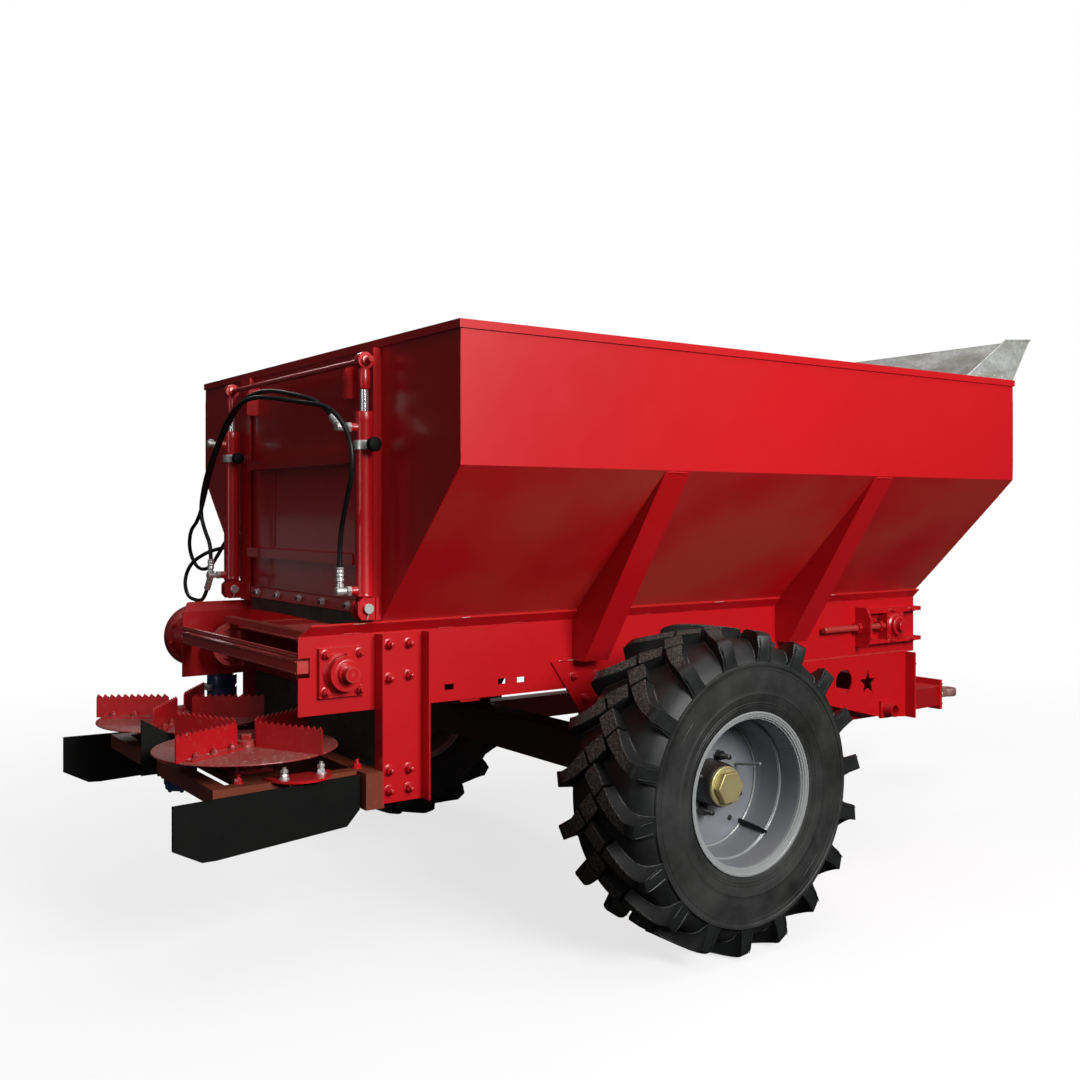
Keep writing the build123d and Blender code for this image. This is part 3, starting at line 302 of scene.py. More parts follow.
def galvanised():
    """Weathered zinc: crystal patches, pale streaks and brown stains."""
    look = new_look("galvanised")
    cells = look.add("TexVoronoi", {"Vector": look.place(), "Scale": 45.0}).outputs["Distance"]
    spangle = look.ramp(cells, [(0.0, (0.46, 0.48, 0.47)), (0.8, (0.66, 0.68, 0.66))])
    streaks = look.noise(6.0, 9.0, (0.6, 0.6, 2.4), rough=0.65)
    stain = look.ramp(streaks, [(0.42, 0), (0.66, 0.85)])
    look.feed(look.shader, {
        "Base Color": look.mix(stain, spangle, (0.3, 0.29, 0.25)), "Metallic": 0.55,
        "Roughness": look.span(streaks, 0.38, 0.7), "Normal": look.bump(streaks, 0.2, 0.002),
    })


def carcass_rubber():
    """The tyre's body: dusty grey sidewalls, and painted shade between the lugs."""
    look = new_look("tyre")
    crown = look.span(look.from_axle(), start=0.432, end=0.448)
    tone = look.noise(6.0, 7.0, rough=0.6)
    wall = look.ramp(tone, [(0.34, (0.009, 0.0097, 0.0094)), (0.66, (0.036, 0.038, 0.036))])
    # painted shade: the carcass between the lugs darker than the sidewall
    painted_valley_shade = look.ramp(tone, [(0.3, (0.004, 0.0046, 0.0052)), (0.7, (0.009, 0.0098, 0.0108))])
    dust = look.ramp(look.noise(5.0, 9.0, rough=0.7), [(0.42, 0), (0.66, 0.26)])
    look.feed(look.shader, {
        "Base Color": look.mix(dust, look.mix(crown, wall, painted_valley_shade), (0.055, 0.052, 0.047)),
        "Roughness": look.span(look.math("ADD", tone, crown), 0.36, 0.52), "Specular IOR Level": 0.38,
        "Normal": look.bump(look.noise(260.0), 0.12, 0.0008),
    })


def tread_rubber():
    """Tread lugs: granular grey-brown tops, black flanks."""
    look = new_look("tread")
    height = look.span(look.from_axle(), start=0.5325, end=0.5352)
    tone = look.noise(12.0, 8.0, rough=0.7)
    grain = look.noise(130.0, 3.0, rough=0.75)
    dark = look.ramp(tone, [(0.3, (0.007, 0.0075, 0.008)), (0.7, (0.017, 0.0175, 0.018))])
    stops = [(0.38, (0.01, 0.0095, 0.008)), (0.5, (0.05, 0.047, 0.04)), (0.64, (0.15, 0.143, 0.125))]
    tops = look.add("VectorMath", {0: look.ramp(grain, stops), 1: look.mix(tone, 0.35, 1.2)})
    tops.operation = "MULTIPLY"
    below = look.bump(tone, 0.15, 0.006)
    look.feed(look.shader, {
        "Base Color": look.mix(height, dark, tops.outputs["Vector"]),
        "Roughness": look.span(height, 0.42, 0.85), "Specular IOR Level": 0.35,
        "Normal": look.bump(look.math("MULTIPLY", grain, height), 0.9, 0.004, below),
    })


def make_materials():
    red = (0.56, 0.005, 0.009), (0.5, 0.004, 0.008)
    paint("red_paint", *red)
    # the hopper's sheet: the red paint with painted light from the ground on the slopes that face down
    paint("red_sheet_ground_lit", *red, painted_ground_light=0.52)
    worn = {"dust": 0.38, "specks": 0.8, "grit_scale": 60.0}
    paint("red_worn", (0.36, 0.008, 0.01), (0.25, 0.007, 0.009), (0.35, 0.6), 0.25, **worn)
    galvanised()
    paint("red_blade", (0.5, 0.004, 0.008), (0.34, 0.004, 0.007), (0.3, 0.5), 0.3, dust=0.2, specks=0.12)
    # red_shade: a duller, oranger copy of the red paint for the conveyor and the parts inside the frame that
    # stand in shade, brightened to make up for the low light there: painted light, with dust and specks
    shade = {"dust": 0.3, "specks": 0.15}
    paint("red_shade", (0.58, 0.04, 0.032), (0.4, 0.03, 0.026), (0.3, 0.55), 0.25, **shade)
    rust = {"dust": 0.03, "specks": 0.05}
    paint("rust_paint", (0.22, 0.03, 0.004), (0.12, 0.018, 0.004), (0.6, 0.8), 0.0, **rust)
    paint("brown_paint", (0.13, 0.045, 0.035), (0.07, 0.025, 0.022), (0.45, 0.65), 0.1)
    metal("steel", (0.42, 0.41, 0.4), (0.28, 0.26, 0.24), (0.35, 0.6))
    metal("tow_steel", (0.4, 0.22, 0.2), (0.26, 0.1, 0.09), (0.45, 0.7), 0.3)
    metal("chrome", (0.84, 0.85, 0.86), (0.76, 0.77, 0.78), (0.12, 0.24), 0.8, bump=0.006)
    metal("zinc", (0.74, 0.74, 0.7), (0.56, 0.56, 0.53), (0.28, 0.45), 0.45)
    metal("gold_zinc", (0.64, 0.59, 0.29), (0.52, 0.38, 0.19), (0.34, 0.55), 0.7, scale=14.0)
    metal("bright_steel", (0.82, 0.82, 0.8), (0.64, 0.64, 0.62), (0.25, 0.42), 0.68, scale=60.0)
    paint("black_paint", (0.012, 0.012, 0.013), (0.007, 0.007, 0.008), (0.3, 0.5), 0.3)
    paint("blue_paint", (0.012, 0.06, 0.24), (0.01, 0.04, 0.16), (0.28, 0.45), 0.3)
    matt = {"dust": 0.12, "dust_colour": (0.022, 0.022, 0.019), "shine": 0.13}
    rubber("black_rubber", (0.005, 0.0054, 0.0048), (0.0035, 0.0038, 0.0034), (0.5, 0.7), **matt)
    rubber("hose_rubber", (0.007, 0.007, 0.008), (0.004, 0.004, 0.005), (0.3, 0.45), scale=40.0, shine=0.3)
    rubber("curtain_rubber", (0.03, 0.036, 0.03), (0.018, 0.023, 0.019), dust=0.3)
    metal("dark_steel", (0.16, 0.155, 0.15), (0.07, 0.068, 0.066), (0.35, 0.55))
    paint("silver_paint", (0.2, 0.21, 0.225), (0.165, 0.175, 0.19), (0.3, 0.42), 0.3, 0.1, wave=0.04)
    # silver_paint_lit: a lighter copy of the silver paint for the rim's flanges and welds and the metal
    # valve stem, beside the dish in silver_paint: painted light
    paint("silver_paint_lit", (0.3, 0.31, 0.31), (0.25, 0.26, 0.26), (0.3, 0.42), 0.3, 0.1, wave=0.04)
    carcass_rubber()
    # rubber_edge_highlight: pale dusty rubber for the thin tubes beside the lugs' flanks: a painted
    # highlight
    rubber("rubber_edge_highlight", (0.11, 0.115, 0.115), (0.05, 0.052, 0.052), (0.5, 0.7), dust=0.3, scale=60.0)
    tread_rubber()


# the CAD nodes that stay in view in another material than their slot's
FINISHES = {
    "hopper": "red_sheet_ground_lit", "guard_curtain": "curtain_rubber", "blades_left": "red_blade",
    "blades_right": "red_blade", "disc_frame": "rust_paint", "conveyor_floor": "red_shade",
    "slat_chain": "red_shade", "conveyor_shafts": "red_shade", "rear_crossbar": "red_shade",
}


def dress_nodes():
    for name, obj in NODES.items():
        obj.data.materials.clear()
        obj.data.materials.append(MATERIALS[FINISHES.get(name, SLOT_OF[name])])


# ---- mesh building
def mm(*rows):
    """Rows of measures in millimetres, turned into metres."""
    return [tuple(value / 1000 for value in row) for row in rows]


def axes(direction):
    """Two directions across a direction, and the direction itself."""
    along = Vector(direction).normalized()
    aside = Z if abs(along.z) < 0.9 else X
    first = along.cross(aside).normalized()
    return first, along.cross(first), along


def spokes(count, start=0.0, upright=Z):
    """Unit vectors evenly round a circle, by their angle from +X towards the upright direction."""
    for index in range(count):
        angle = start + math.tau * index / count
        yield X * math.cos(angle) + upright * math.sin(angle)


class Piece:
    """A mesh under construction. put() makes it a piece of the scene that rides on a body."""

    def __init__(self, rng=None):
        self.bm = bmesh.new()
        self.rng = rng

    def loop(self, points):
        return [self.bm.verts.new(point) for point in points]

    def circle(self, centre, first, second, radius, segments, turn=0.0):
        points = []
        for step in range(segments):
            angle = turn + math.tau * step / segments
            points.append(centre + (first * math.cos(angle) + second * math.sin(angle)) * radius)
        return self.loop(points)

    def lathe(self, origin, direction, rings, segments=24, closed=False, turn=0.0):
        """Rings of (distance along the axis, radius), joined into a surface of revolution."""
        first, second, along = axes(direction)
        loops = []
        for distance, radius in rings:
            centre = Vector(origin) + along * distance
            loops.append(self.circle(centre, first, second, radius, segments, turn))
        self.join(loops, closed)
        if not closed:
            self.cap(loops)

    def cap(self, loops):
        self.bm.faces.new(list(reversed(loops[0])))
        self.bm.faces.new(loops[-1])

    def join(self, loops, closed=False, ring=True):
        """Faces between neighbouring loops of equal length."""
        pairs = list(zip(loops, loops[1:]))
        for low, high in pairs + [(loops[-1], loops[0])] * closed:
            count = len(low)
            for step in range(count if ring else count - 1):
                after = (step + 1) % count
                self.bm.faces.new((low[step], low[after], high[after], high[step]))

    def box(self, low, high):
        ends = list(zip(low, high))
        corners = self.loop([(x, y, z) for z in ends[2] for y in ends[1] for x in ends[0]])
        for face in ((0, 2, 3, 1), (4, 5, 7, 6), (0, 1, 5, 4), (2, 6, 7, 3), (0, 4, 6, 2), (1, 3, 7, 5)):
            self.bm.faces.new([corners[index] for index in face])

    def prism(self, points, depth):
        """A flat outline of 3-D points, pushed along depth."""
        loops = [self.loop(points), self.loop([Vector(point) + Vector(depth) for point in points])]
        self.join(loops)
        self.cap(loops)

    def tube(self, points, radii, segments=12):
        """A pipe through points, with one radius or one for each point."""
        points = [Vector(p) for p in points]
        if not isinstance(radii, (list, tuple)):
            radii = [radii] * len(points)
        loops = []
        side = None
        for index, point in enumerate(points):
            ahead = points[min(index + 1, len(points) - 1)] - points[max(index - 1, 0)]
            ahead.normalize()
            if side is None:
                side = axes(ahead)[0]
            side = (side - ahead * side.dot(ahead)).normalized()
            loops.append(self.circle(point, side, ahead.cross(side), radii[index], segments))
        self.join(loops)
        self.cap(loops)

    def hexagon(self, origin, direction, across, height, turn=0.0):
        """A chamfered hexagonal head."""
        radius = across / math.sqrt(3)
        rings = [(0, radius), (0.82 * height, radius), (height, 0.86 * radius)]
        self.lathe(origin, direction, rings, 6, turn=turn)

    def bolt(self, origin, direction, across=0.024, washer=0.022, head=0.6, tip=0.0, turn=None):
        """A washer, a hexagonal head or nut, and with tip the end of its thread."""
        direction = Vector(direction).normalized()
        origin = Vector(origin)
        if turn is None:
            turn = self.rng.uniform(0, 1) if self.rng else 0.0
        lift = 0.0
        if washer:
            self.lathe(origin, direction, [(0, washer), (0.0028, washer), (0.0034, washer - 0.0012)], 24)
            lift = 0.0032
        self.hexagon(origin + direction * lift, direction, across, head * across, turn)
        if tip:
            base = lift + head * across
            radius = 0.31 * across
            rings = [(base - 0.001, radius)]
            count = max(2, int(tip / 0.0025))
            for step in range(count):
                for share, width in ((0.4, radius), (0.8, 0.9 * radius)):
                    rings.append((base + tip * (step + share) / count, width))
            rings.append((base + tip, 0.8 * radius))
            self.lathe(origin, direction, rings, 12)

    def weld(self, start, end, radius, gap=0.0):
        """A rippled bead from start to end. With gap it comes in stretches."""
        rng = self.rng
        start, end = Vector(start), Vector(end)
        length = (end - start).length
        along = (end - start).normalized()
        spots = [(0.0, length)]
        if gap:
            spots = []
            at = rng.uniform(0, gap)
            while at < length - 0.02:
                run = min(rng.uniform(0.03, 0.08), length - at)
                spots.append((at, at + run))
                at += run + rng.uniform(0.6, 1.4) * gap
        for low, high in spots:
            count = max(4, int((high - low) / 0.005))
            points, radii = [], []
            for step in range(count + 1):
                share = step / count
                jitter = Vector([rng.uniform(-1, 1) for _ in range(3)]) * radius * 0.1
                points.append(start + along * (low + (high - low) * share) + jitter)
                taper = min(1.0, 4 * min(share, 1 - share) + 0.35)
                radii.append(radius * taper * (1.12 if step % 2 else 0.88) * rng.uniform(0.93, 1.07))
            self.tube(points, radii, 8)

    def weld_x(self, start, end, y, z, radius, gap=0.0):
        self.weld((start, y, z), (end, y, z), radius, gap)

    def flip_y(self, verts, faces):
        """Moves part of the mesh to the other side of the middle plane."""
        bmesh.ops.scale(self.bm, vec=(1, -1, 1), verts=verts)
        bmesh.ops.reverse_faces(self.bm, faces=faces)

    def mirror_y(self):
        """Adds the same shape on the other side of the middle plane."""
        whole = self.bm.verts[:] + self.bm.edges[:] + self.bm.faces[:]
        copy = bmesh.ops.duplicate(self.bm, geom=whole)["geom"]
        verts = [item for item in copy if isinstance(item, bmesh.types.BMVert)]
        self.flip_y(verts, [item for item in copy if isinstance(item, bmesh.types.BMFace)])

    def put(self, name, material, body="chassis", slot=None, hides=None, smooth=35, bevel=0.0):
        """Hides the CAD node that it replaces. slot is not used."""
        mesh = bpy.data.meshes.new(name)
        bmesh.ops.recalc_face_normals(self.bm, faces=self.bm.faces[:])
        self.bm.to_mesh(mesh)
        self.bm.free()
        mesh.materials.append(MATERIALS[material])
        mesh.shade_smooth()
        mesh.set_sharp_from_angle(angle=math.radians(smooth))
        obj = new_object(name, mesh)
        if bevel:
            modifier = obj.modifiers.new("bevel", "BEVEL")
            modifier.width = bevel
            modifier.segments = 2
            modifier.limit_method = "ANGLE"
        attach(obj, body)
        if hides:
            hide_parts(hides)


# ---- cords
# Length and route of each hose as (x from the axle, y, z): the same points as its solid has.
HOSES = {
    "hose_rod_side": (2.19, (
        (-1.157, -0.5363, 1.7776), (-1.157, -0.44, 1.838), (-1.157, -0.212, 1.878), (-1.157, 0.018, 1.912),
        (-1.157, 0.235, 1.902), (-1.157, 0.43, 1.793), (-1.157, 0.59, 1.65), (-1.152, 0.695, 1.508),
        (-1.142, 0.8, 1.425), (-1.125, 0.935, 1.39), (-1.108, 1.005, 1.305), (-1.088, 0.965, 1.225),
        (-1.065, 0.88, 1.22), (-1.04, 0.825, 1.29), (-1.022, 0.77, 1.36), (-1.022, 0.7, 1.36),
    )),
    "hose_base_side": (2.21, (
        (-1.157, -0.5916, 1.29), (-1.157, -0.59, 1.375), (-1.16, -0.64, 1.49), (-1.165, -0.705, 1.6),
        (-1.17, -0.69, 1.72), (-1.178, -0.56, 1.812), (-1.18, -0.34, 1.838), (-1.18, -0.11, 1.872),
        (-1.18, 0.115, 1.893), (-1.18, 0.305, 1.855), (-1.18, 0.462, 1.735), (-1.18, 0.6, 1.6),
        (-1.178, 0.662, 1.47), (-1.168, 0.632, 1.39), (-1.157, 0.595, 1.335), (-1.157, 0.5941, 1.278),
    )),
    "hose_supply": (0.675, (
        (-1.157, 0.637, 1.1563), (-1.157, 0.676, 1.106), (-1.157, 0.77, 1.1), (-1.157, 0.88, 1.112),
        (-1.152, 0.935, 1.175), (-1.135, 0.905, 1.25), (-1.085, 0.835, 1.3), (-1.022, 0.765, 1.322),
        (-1.022, 0.7, 1.322),
    )),
}
HOSE_DIAMETER = 0.016


def make_hoses():
    for name, (length, route) in HOSES.items():
        curve = bpy.data.curves.new(name + "_line", "CURVE")
        curve.dimensions = "3D"
        curve.bevel_depth = HOSE_DIAMETER / 2
        curve.bevel_resolution = 5
        curve.resolution_u = 12
        curve.use_fill_caps = True
        spline = curve.splines.new("NURBS")
        spline.points.add(len(route) - 1)
        for point, (x, y, z) in zip(spline.points, route):
            point.co = (AXLE_X + x, y, z, 1.0)
        spline.order_u = 3
        spline.use_endpoint_u = True
        curve.materials.append(MATERIALS["hose_rubber"])
        hose = new_object(name + "_hose", curve)
        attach(hose, "chassis")
        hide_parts(name)
        x, y, z = route[0]


def hose_end(name, index):
    x, y, z = HOSES[name][1][index]
    return Vector((AXLE_X + x, y, z))


def ferrule(piece, start, end):
    """A crimped hose ferrule from a fitting's body to where the hose comes out."""
    start, end = Vector(start), Vector(end)
    run = (end - start).length
    grip = min(0.045, 0.62 * run)
    neck = run - grip
    sleeve, pressed = 0.0132, 0.0122
    rings = [(0, 0.0085), (neck * 0.4, 0.0085), (neck * 0.4, 0.013), (neck * 0.75, 0.013)]
    rings += [(neck * 0.75, 0.0095), (neck, 0.0095), (neck + 0.001, sleeve)]
    for crimp in range(3):
        at = neck + grip * (0.18 + 0.27 * crimp)
        close = at + grip * 0.14
        rings += [(at, sleeve), (at + 0.002, pressed), (close, pressed), (close + 0.002, sleeve)]
    rings += [(run - 0.001, sleeve), (run, 0.0118)]
    piece.lathe(start, end - start, rings, 20)


def make_fittings():
    """Elbows, nuts, ferrules and the bulkhead block on the rear wall."""
    piece = Piece()
    low_port, high_port = PORT_HEIGHTS
    collar = mm((0, 11), (2, 14.5), (25, 14.5), (27, 11.5), (36, 11.5))
    for side in SIDES:
        for height in PORT_HEIGHTS:
            centre = Vector((ELBOW_X, side * CYLINDER_Y, height))
            piece.lathe(centre - X * 0.016, X, collar, 20)
            piece.hexagon(centre + X * 0.036, -X, 0.029, 0.013)
            piece.hexagon(centre + X * 0.024, X, 0.025, 0.012)
    for side, height, end in (
        (-1, high_port, hose_end("hose_rod_side", 0)), (-1, low_port, hose_end("hose_base_side", 0)),
        (1, low_port, hose_end("hose_base_side", -1)), (1, low_port, hose_end("hose_supply", 0)),
    ):
        ferrule(piece, (ELBOW_X, side * CYLINDER_Y, height), end)
    piece.hexagon((ELBOW_X, CYLINDER_Y, high_port + 0.008), Z, 0.02, 0.012)
    for name in ("hose_rod_side", "hose_supply"):
        end = hose_end(name, -1)
        ferrule(piece, end - Y * 0.038, end)
    piece.put("hose_fittings_detail", "bright_steel", slot="chrome", hides="hose_fittings")
    block = Piece()
    block.box((HOPPER_REAR_X - 0.032, 0.612, 1.3), (HOPPER_REAR_X - 0.001, 0.662, 1.382))
    block.put("bulkhead_block", "zinc", slot="chrome", bevel=0.003)


# ---- wheels
# Half section of the tyre's carcass from the tread's middle to the bead: (offset, radius)
CARCASS = mm(
    (0, 502), (60, 501.5), (100, 499), (135, 494), (158, 484), (174, 470), (186, 454), (192.5, 442),
    (195.5, 437.5), (202, 436.8), (203.8, 435), (204, 424), (202.5, 421.8), (200, 421), (199.5, 413),
    (201, 412), (201, 410.5), (199.8, 409.5), (201.5, 386), (202.2, 366), (201.6, 348), (200, 333),
    (200.6, 332), (200.6, 330), (199.2, 329), (196.5, 315), (193, 303), (193.6, 302), (193.6, 299.8),
    (192, 299), (190.5, 293), (191, 292.2), (191, 290.4), (189, 289.6), (186.8, 280), (185, 274.5),
    (183.5, 272), (182, 257.5),
)
CARCASS_CROWN = CARCASS[:9]
# A long lug: (offset, arc rearwards at the top of the wheel, top radius, width). Its top stays flat to the
# shoulder, where it turns down sharply into a squared foot.
LONG_LUG = mm(
    (48, 44, 536.2, 56), (66, 61, 536.6, 53), (86, 78.5, 536.6, 49), (106, 94.5, 536.4, 45),
    (126, 108.5, 536, 42), (145, 119.5, 535.2, 40), (162, 127.5, 533.8, 40), (177, 133, 531.2, 43),
    (189, 136.5, 527, 48), (196, 138.5, 521, 53), (199.5, 139.5, 508, 55), (201, 140, 486, 56),
    (201.4, 140.2, 462, 58), (201.4, 140.2, 442, 60),
)
CENTRE_BLOCK = mm((-20, -18, 536, 60), (10, 9, 536.8, 62), (40, 36.5, 536.6, 60))
LUGS_A_SIDE = 18
LUG_REACH = 0.2039
FOOT_ARC = 0.14
TREAD_RADIUS = 0.53


def carcass_radius(offset):
    """Radius of the carcass between the lugs at an offset from the tyre's middle."""
    offset = abs(offset)
    for (low, low_radius), (high, high_radius) in zip(CARCASS_CROWN, CARCASS_CROWN[1:]):
        if low <= offset <= high:
            return low_radius + (high_radius - low_radius) * (offset - low) / (high - low)
    return 0.437


def round_axle(angle, radius, y):
    """A point round the axle, by its angle rearwards from the top."""
    return Vector((AXLE_X - radius * math.sin(angle), y, AXLE_Z + radius * math.cos(angle)))


def on_tyre(offset, arc, radius, start):
    """A point of the right tyre, with the offset outwards and the arc measured at the tread."""
    angle = start + arc / TREAD_RADIUS
    return round_axle(angle, radius, -WHEEL_Y - offset)


def lug_profile(half, draft, base, top):
    """A lug's section as (shift across it, radius): sloping flanks and soft top edges."""
    knee = base + 0.35 * (top - base)
    left = [(half + draft, base), (half + 0.35 * draft, knee), (half, top - 0.0018), (half - 0.002, top)]
    return [(-shift, radius) for shift, radius in left] + left[::-1]


def add_lug(piece, edges, stations, start, face, draft=0.013, rough=0.0):
    """One lug through stations of (offset, arc, top radius, width), with thin pale tubes beside its flanks:
    a painted highlight.
    """
    rng = piece.rng
    last = len(stations) - 1
    loops = []
    lines = ([], [])
    for index, (offset, arc, top, width) in enumerate(stations):
        before, after = stations[max(index - 1, 0)], stations[min(index + 1, last)]
        run = Vector((after[0] - before[0], after[1] - before[1]))
        if run.length < 0.004:
            run = Vector((0.35, 0.02))
        run.normalize()
        across = Vector((-run.y, run.x))
        base = min(carcass_radius(offset) - 0.004, top - 0.006)
        half = width / 2
        wander = rng.uniform(-rough, rough)
        if 0 < index < last - 2:
            for line, shift in zip(lines, (half + 0.8 * draft, -half - 0.8 * draft)):
                a = min(0.203, offset + across.x * shift)
                line.append(on_tyre(face * a, arc + across.y * shift, carcass_radius(a) + 0.0012, start))
        loop = []
        for shift, radius in lug_profile(half, draft, base, top):
            a = max(-LUG_REACH, min(LUG_REACH, offset + across.x * shift))
            s = arc + across.y * shift
            if radius >= top - 0.005:
                s += wander
                radius += rng.uniform(-0.4, 0.2) * rough
            loop.append(on_tyre(face * a, s, radius, start))
        loops.append(piece.loop(loop))
    piece.join(loops, ring=False)
    piece.cap(loops)
    if edges:
        for line in lines:
            edges.tube(line, [0.001] + [0.0018] * (len(line) - 2) + [0.001], 6)


def make_tyre(name, side):
    body = f"wheel_{name}"
    carcass = Piece()
    rings = [(-offset, radius) for offset, radius in reversed(CARCASS[1:])] + CARCASS
    bore = mm((150, 255.8), (-150, 255.8))
    carcass.lathe((AXLE_X, side * WHEEL_Y, AXLE_Z), Y * side, rings + bore, 120, closed=True)
    # short raised bars on the sidewall: (middle and half of the angle, radius)
    bars = ((0.9, 0.1, 0.384), (2.5, 0.08, 0.38), (3.9, 0.12, 0.384), (5.3, 0.08, 0.378))
    for centre, reach, radius in bars:
        for away in (radius, radius - 0.012):
            angles = [centre - reach + 2 * reach * step / 12 for step in range(13)]
            y = side * (WHEEL_Y + 0.2014)
            carcass.tube([round_axle(angle, away, y) for angle in angles], 0.0007, 6)
    carcass.put(f"tyre_{name}_carcass", "tyre", body, hides=f"tyre_{name}", smooth=40)
    lugs = Piece(random.Random(11))
    edges = Piece()
    fork = ((0.1975, 0.85, 0.518), (0.201, 0.9, 0.5), (0.2016, 0.95, 0.474), (0.2016, 1.0, 0.446))
    for face in (1, -1):
        for index in range(LUGS_A_SIDE):
            start = math.tau / LUGS_A_SIDE * (index + (0 if face > 0 else 0.5))
            add_lug(lugs, edges, LONG_LUG, start, face, rough=0.0008)
            add_lug(lugs, None, CENTRE_BLOCK, start, face, draft=0.004, rough=0.002)
            # the fork on the lug's foot: two ribs that draw together towards the shoulder
            for away in (-0.021, 0.021):
                rib = [on_tyre(face * y, FOOT_ARC + away * wide, radius, start) for y, wide, radius in fork]
                lugs.tube(rib, [0.0012, 0.0022, 0.0023, 0.0023], 6)
    for piece in (lugs, edges) if side > 0 else ():
        piece.flip_y(piece.bm.verts[:], piece.bm.faces[:])
    # the pale tubes beside the lugs' flanks: a painted highlight
    edges.put(f"tyre_{name}_edges", "rubber_edge_highlight", body, "tyre")
    lugs.put(f"tyre_{name}_lugs", "tread", body, "tyre", smooth=26)


# Rim section round its outer side: (offset outwards, radius)
RIM_FLANGE = mm(
    (178, 259), (183.5, 263), (185, 269), (187.2, 271), (189, 270.2), (189.8, 266.8), (189.4, 264.5),
    (187, 263), (186.2, 261.8), (186, 256.8), (184.6, 255.6), (182.2, 254.8), (181.8, 250), (180, 248.8),
    (176, 248.2), (175.5, 244.6), (164, 243.6), (164, 248), (170, 254),
)
RIM_DISH = mm(
    (166, 243.6), (150, 242), (120, 241.2), (88, 240.5), (85.5, 233.5), (84, 231.5), (50, 230),
    (10, 226), (-17, 221), (-20.5, 218), (-21, 160), (-21, 65), (-33, 65), (-33, 225), (-40, 237),
    (-70, 240), (-164, 243.6), (-164, 255), (166, 255),
)
RIM_BACK = mm(
    (-164, 254), (-164, 243), (-179, 246.5), (-181.6, 254), (-186.2, 258.5), (-189.4, 263),
    (-189, 270.5), (-185, 270.5), (-183.5, 263), (-178, 258),
)
HUB_FACE = mm((-21.5, 50), (-21.5, 82), (-12, 79), (36, 77), (46, 74.5), (51, 70.5), (52, 40))
HUB_BACK = mm((-124, 55), (-122, 98), (-112, 105), (-45, 105), (-36, 115), (-33.5, 115), (-33.5, 50))
HUB_CAP = mm((50, 50), (50.5, 67.5), (53, 68.5), (62, 68.5), (64.5, 66.5), (65, 50))
# Valve stems as (offset outwards, x and z from the axle, radius)
METAL_VALVE = mm(
    (-22, 128, 48, 5.6), (40, 128, 57, 5.6), (90, 128, 65.5, 5.6),
    (98, 128, 67, 5), (100, 128, 67, 2.8),
)
RUBBER_VALVE = mm(
    (-22, 147, -155, 8.5), (20, 149, -159, 7.5), (70, 151, -164, 7),
    (74, 151, -165, 5.5), (102, 152, -168, 5.5), (106, 152, -168, 3),
)


def make_rim(name, side):
    body = f"wheel_{name}"
    rng = random.Random(5)
    origin = Vector((AXLE_X, side * WHEEL_Y, AXLE_Z))
    out = Y * side
    # the flanges and the welds in the lighter copy of the silver paint: painted light
    flange = Piece()
    flange.lathe(origin, out, RIM_FLANGE, 120, closed=True)
    flange.lathe(origin, out, RIM_BACK, 96, closed=True)
    flange.put(f"rim_{name}_flanges", "silver_paint_lit", body, "silver_paint", smooth=40)
    dish = Piece()
    dish.lathe(origin, out, RIM_DISH, 96, closed=True)
    dish.put(f"rim_{name}_dish", "silver_paint", body, hides=f"rim_{name}", smooth=40)
    welds = Piece()
    for offset, radius, bead in ((0.0865, 0.236, 0.0032), (-0.0175, 0.2185, 0.004)):
        points, radii = [], []
        for step in range(241):
            angle = math.tau * step / 240
            spoke = Vector((radius * math.sin(angle), 0, radius * math.cos(angle)))
            points.append(origin + out * (offset + rng.uniform(-0.0005, 0.0005)) + spoke)
            radii.append(bead * (1.12 if step % 2 else 0.9) * rng.uniform(0.9, 1.1))
        welds.tube(points, radii, 6)
    welds.put(f"rim_{name}_welds", "silver_paint_lit", body, "silver_paint")
    hub = Piece()
    hub.lathe(origin, out, HUB_FACE, 64)
    hub.lathe(origin, out, HUB_BACK, 64)
    hub.put(f"hub_{name}_body", "black_paint", body, hides=f"hub_{name}")
    cap = Piece()
    cap.lathe(origin, out, HUB_CAP, 48)
    radius = 0.101 / math.sqrt(3)
    nut = [(0.0645, 0.95 * radius), (0.0655, radius), (0.0868, radius), (0.0895, 0.955 * radius)]
    cap.lathe(origin, out, nut, 6)
    cap.put(f"hub_{name}_cap", "gold_zinc", body, "black_paint", bevel=0.0015)
    studs = Piece()
    for spoke in spokes(4, math.radians(66)):
        spot = origin + spoke * 0.098 - out * 0.0212
        studs.bolt(spot, out, across=0.03, washer=0.0185, head=0.85, tip=0.034)
    studs.put(f"hub_{name}_studs", "dark_steel", body, "steel")
    # the metal stem in the lighter copy of the silver paint: painted light
    for kind, material, slot, stem in (
        ("stem", "silver_paint_lit", "silver_paint", METAL_VALVE),
        ("rubber", "hose_rubber", "black_rubber", RUBBER_VALVE),
    ):
        valve = Piece()
        points = [origin + out * offset + Vector((x, 0, z)) for offset, x, z, _ in stem]
        valve.tube(points, [radius for _, _, _, radius in stem], 12)
        valve.put(f"valve_{name}_{kind}", material, body, slot)
    # a black disc in place of a hole in the dish: painted shade
    hole = Piece()
    hole.lathe(origin + Vector((0.099, 0, -0.138)), out, mm((-21.2, 10.5), (-20.4, 10.5)), 24)
    hole.put(f"rim_{name}_hole", "black_paint", body)


# ---- gate and its cylinders
GATE_REAR_X = HOPPER_REAR_X - 0.018
LIFT_BAR_Z = 1.96
PIN_Z = 1.155
CLAMP_Z = 1.685
FLAP_HALF = 0.475
FLAP_FOOT_Z = 1.078
FLAP_TOP_Z = 1.166
RAIL_EDGES_Z = (1.29, 1.326, 1.634, 1.67)
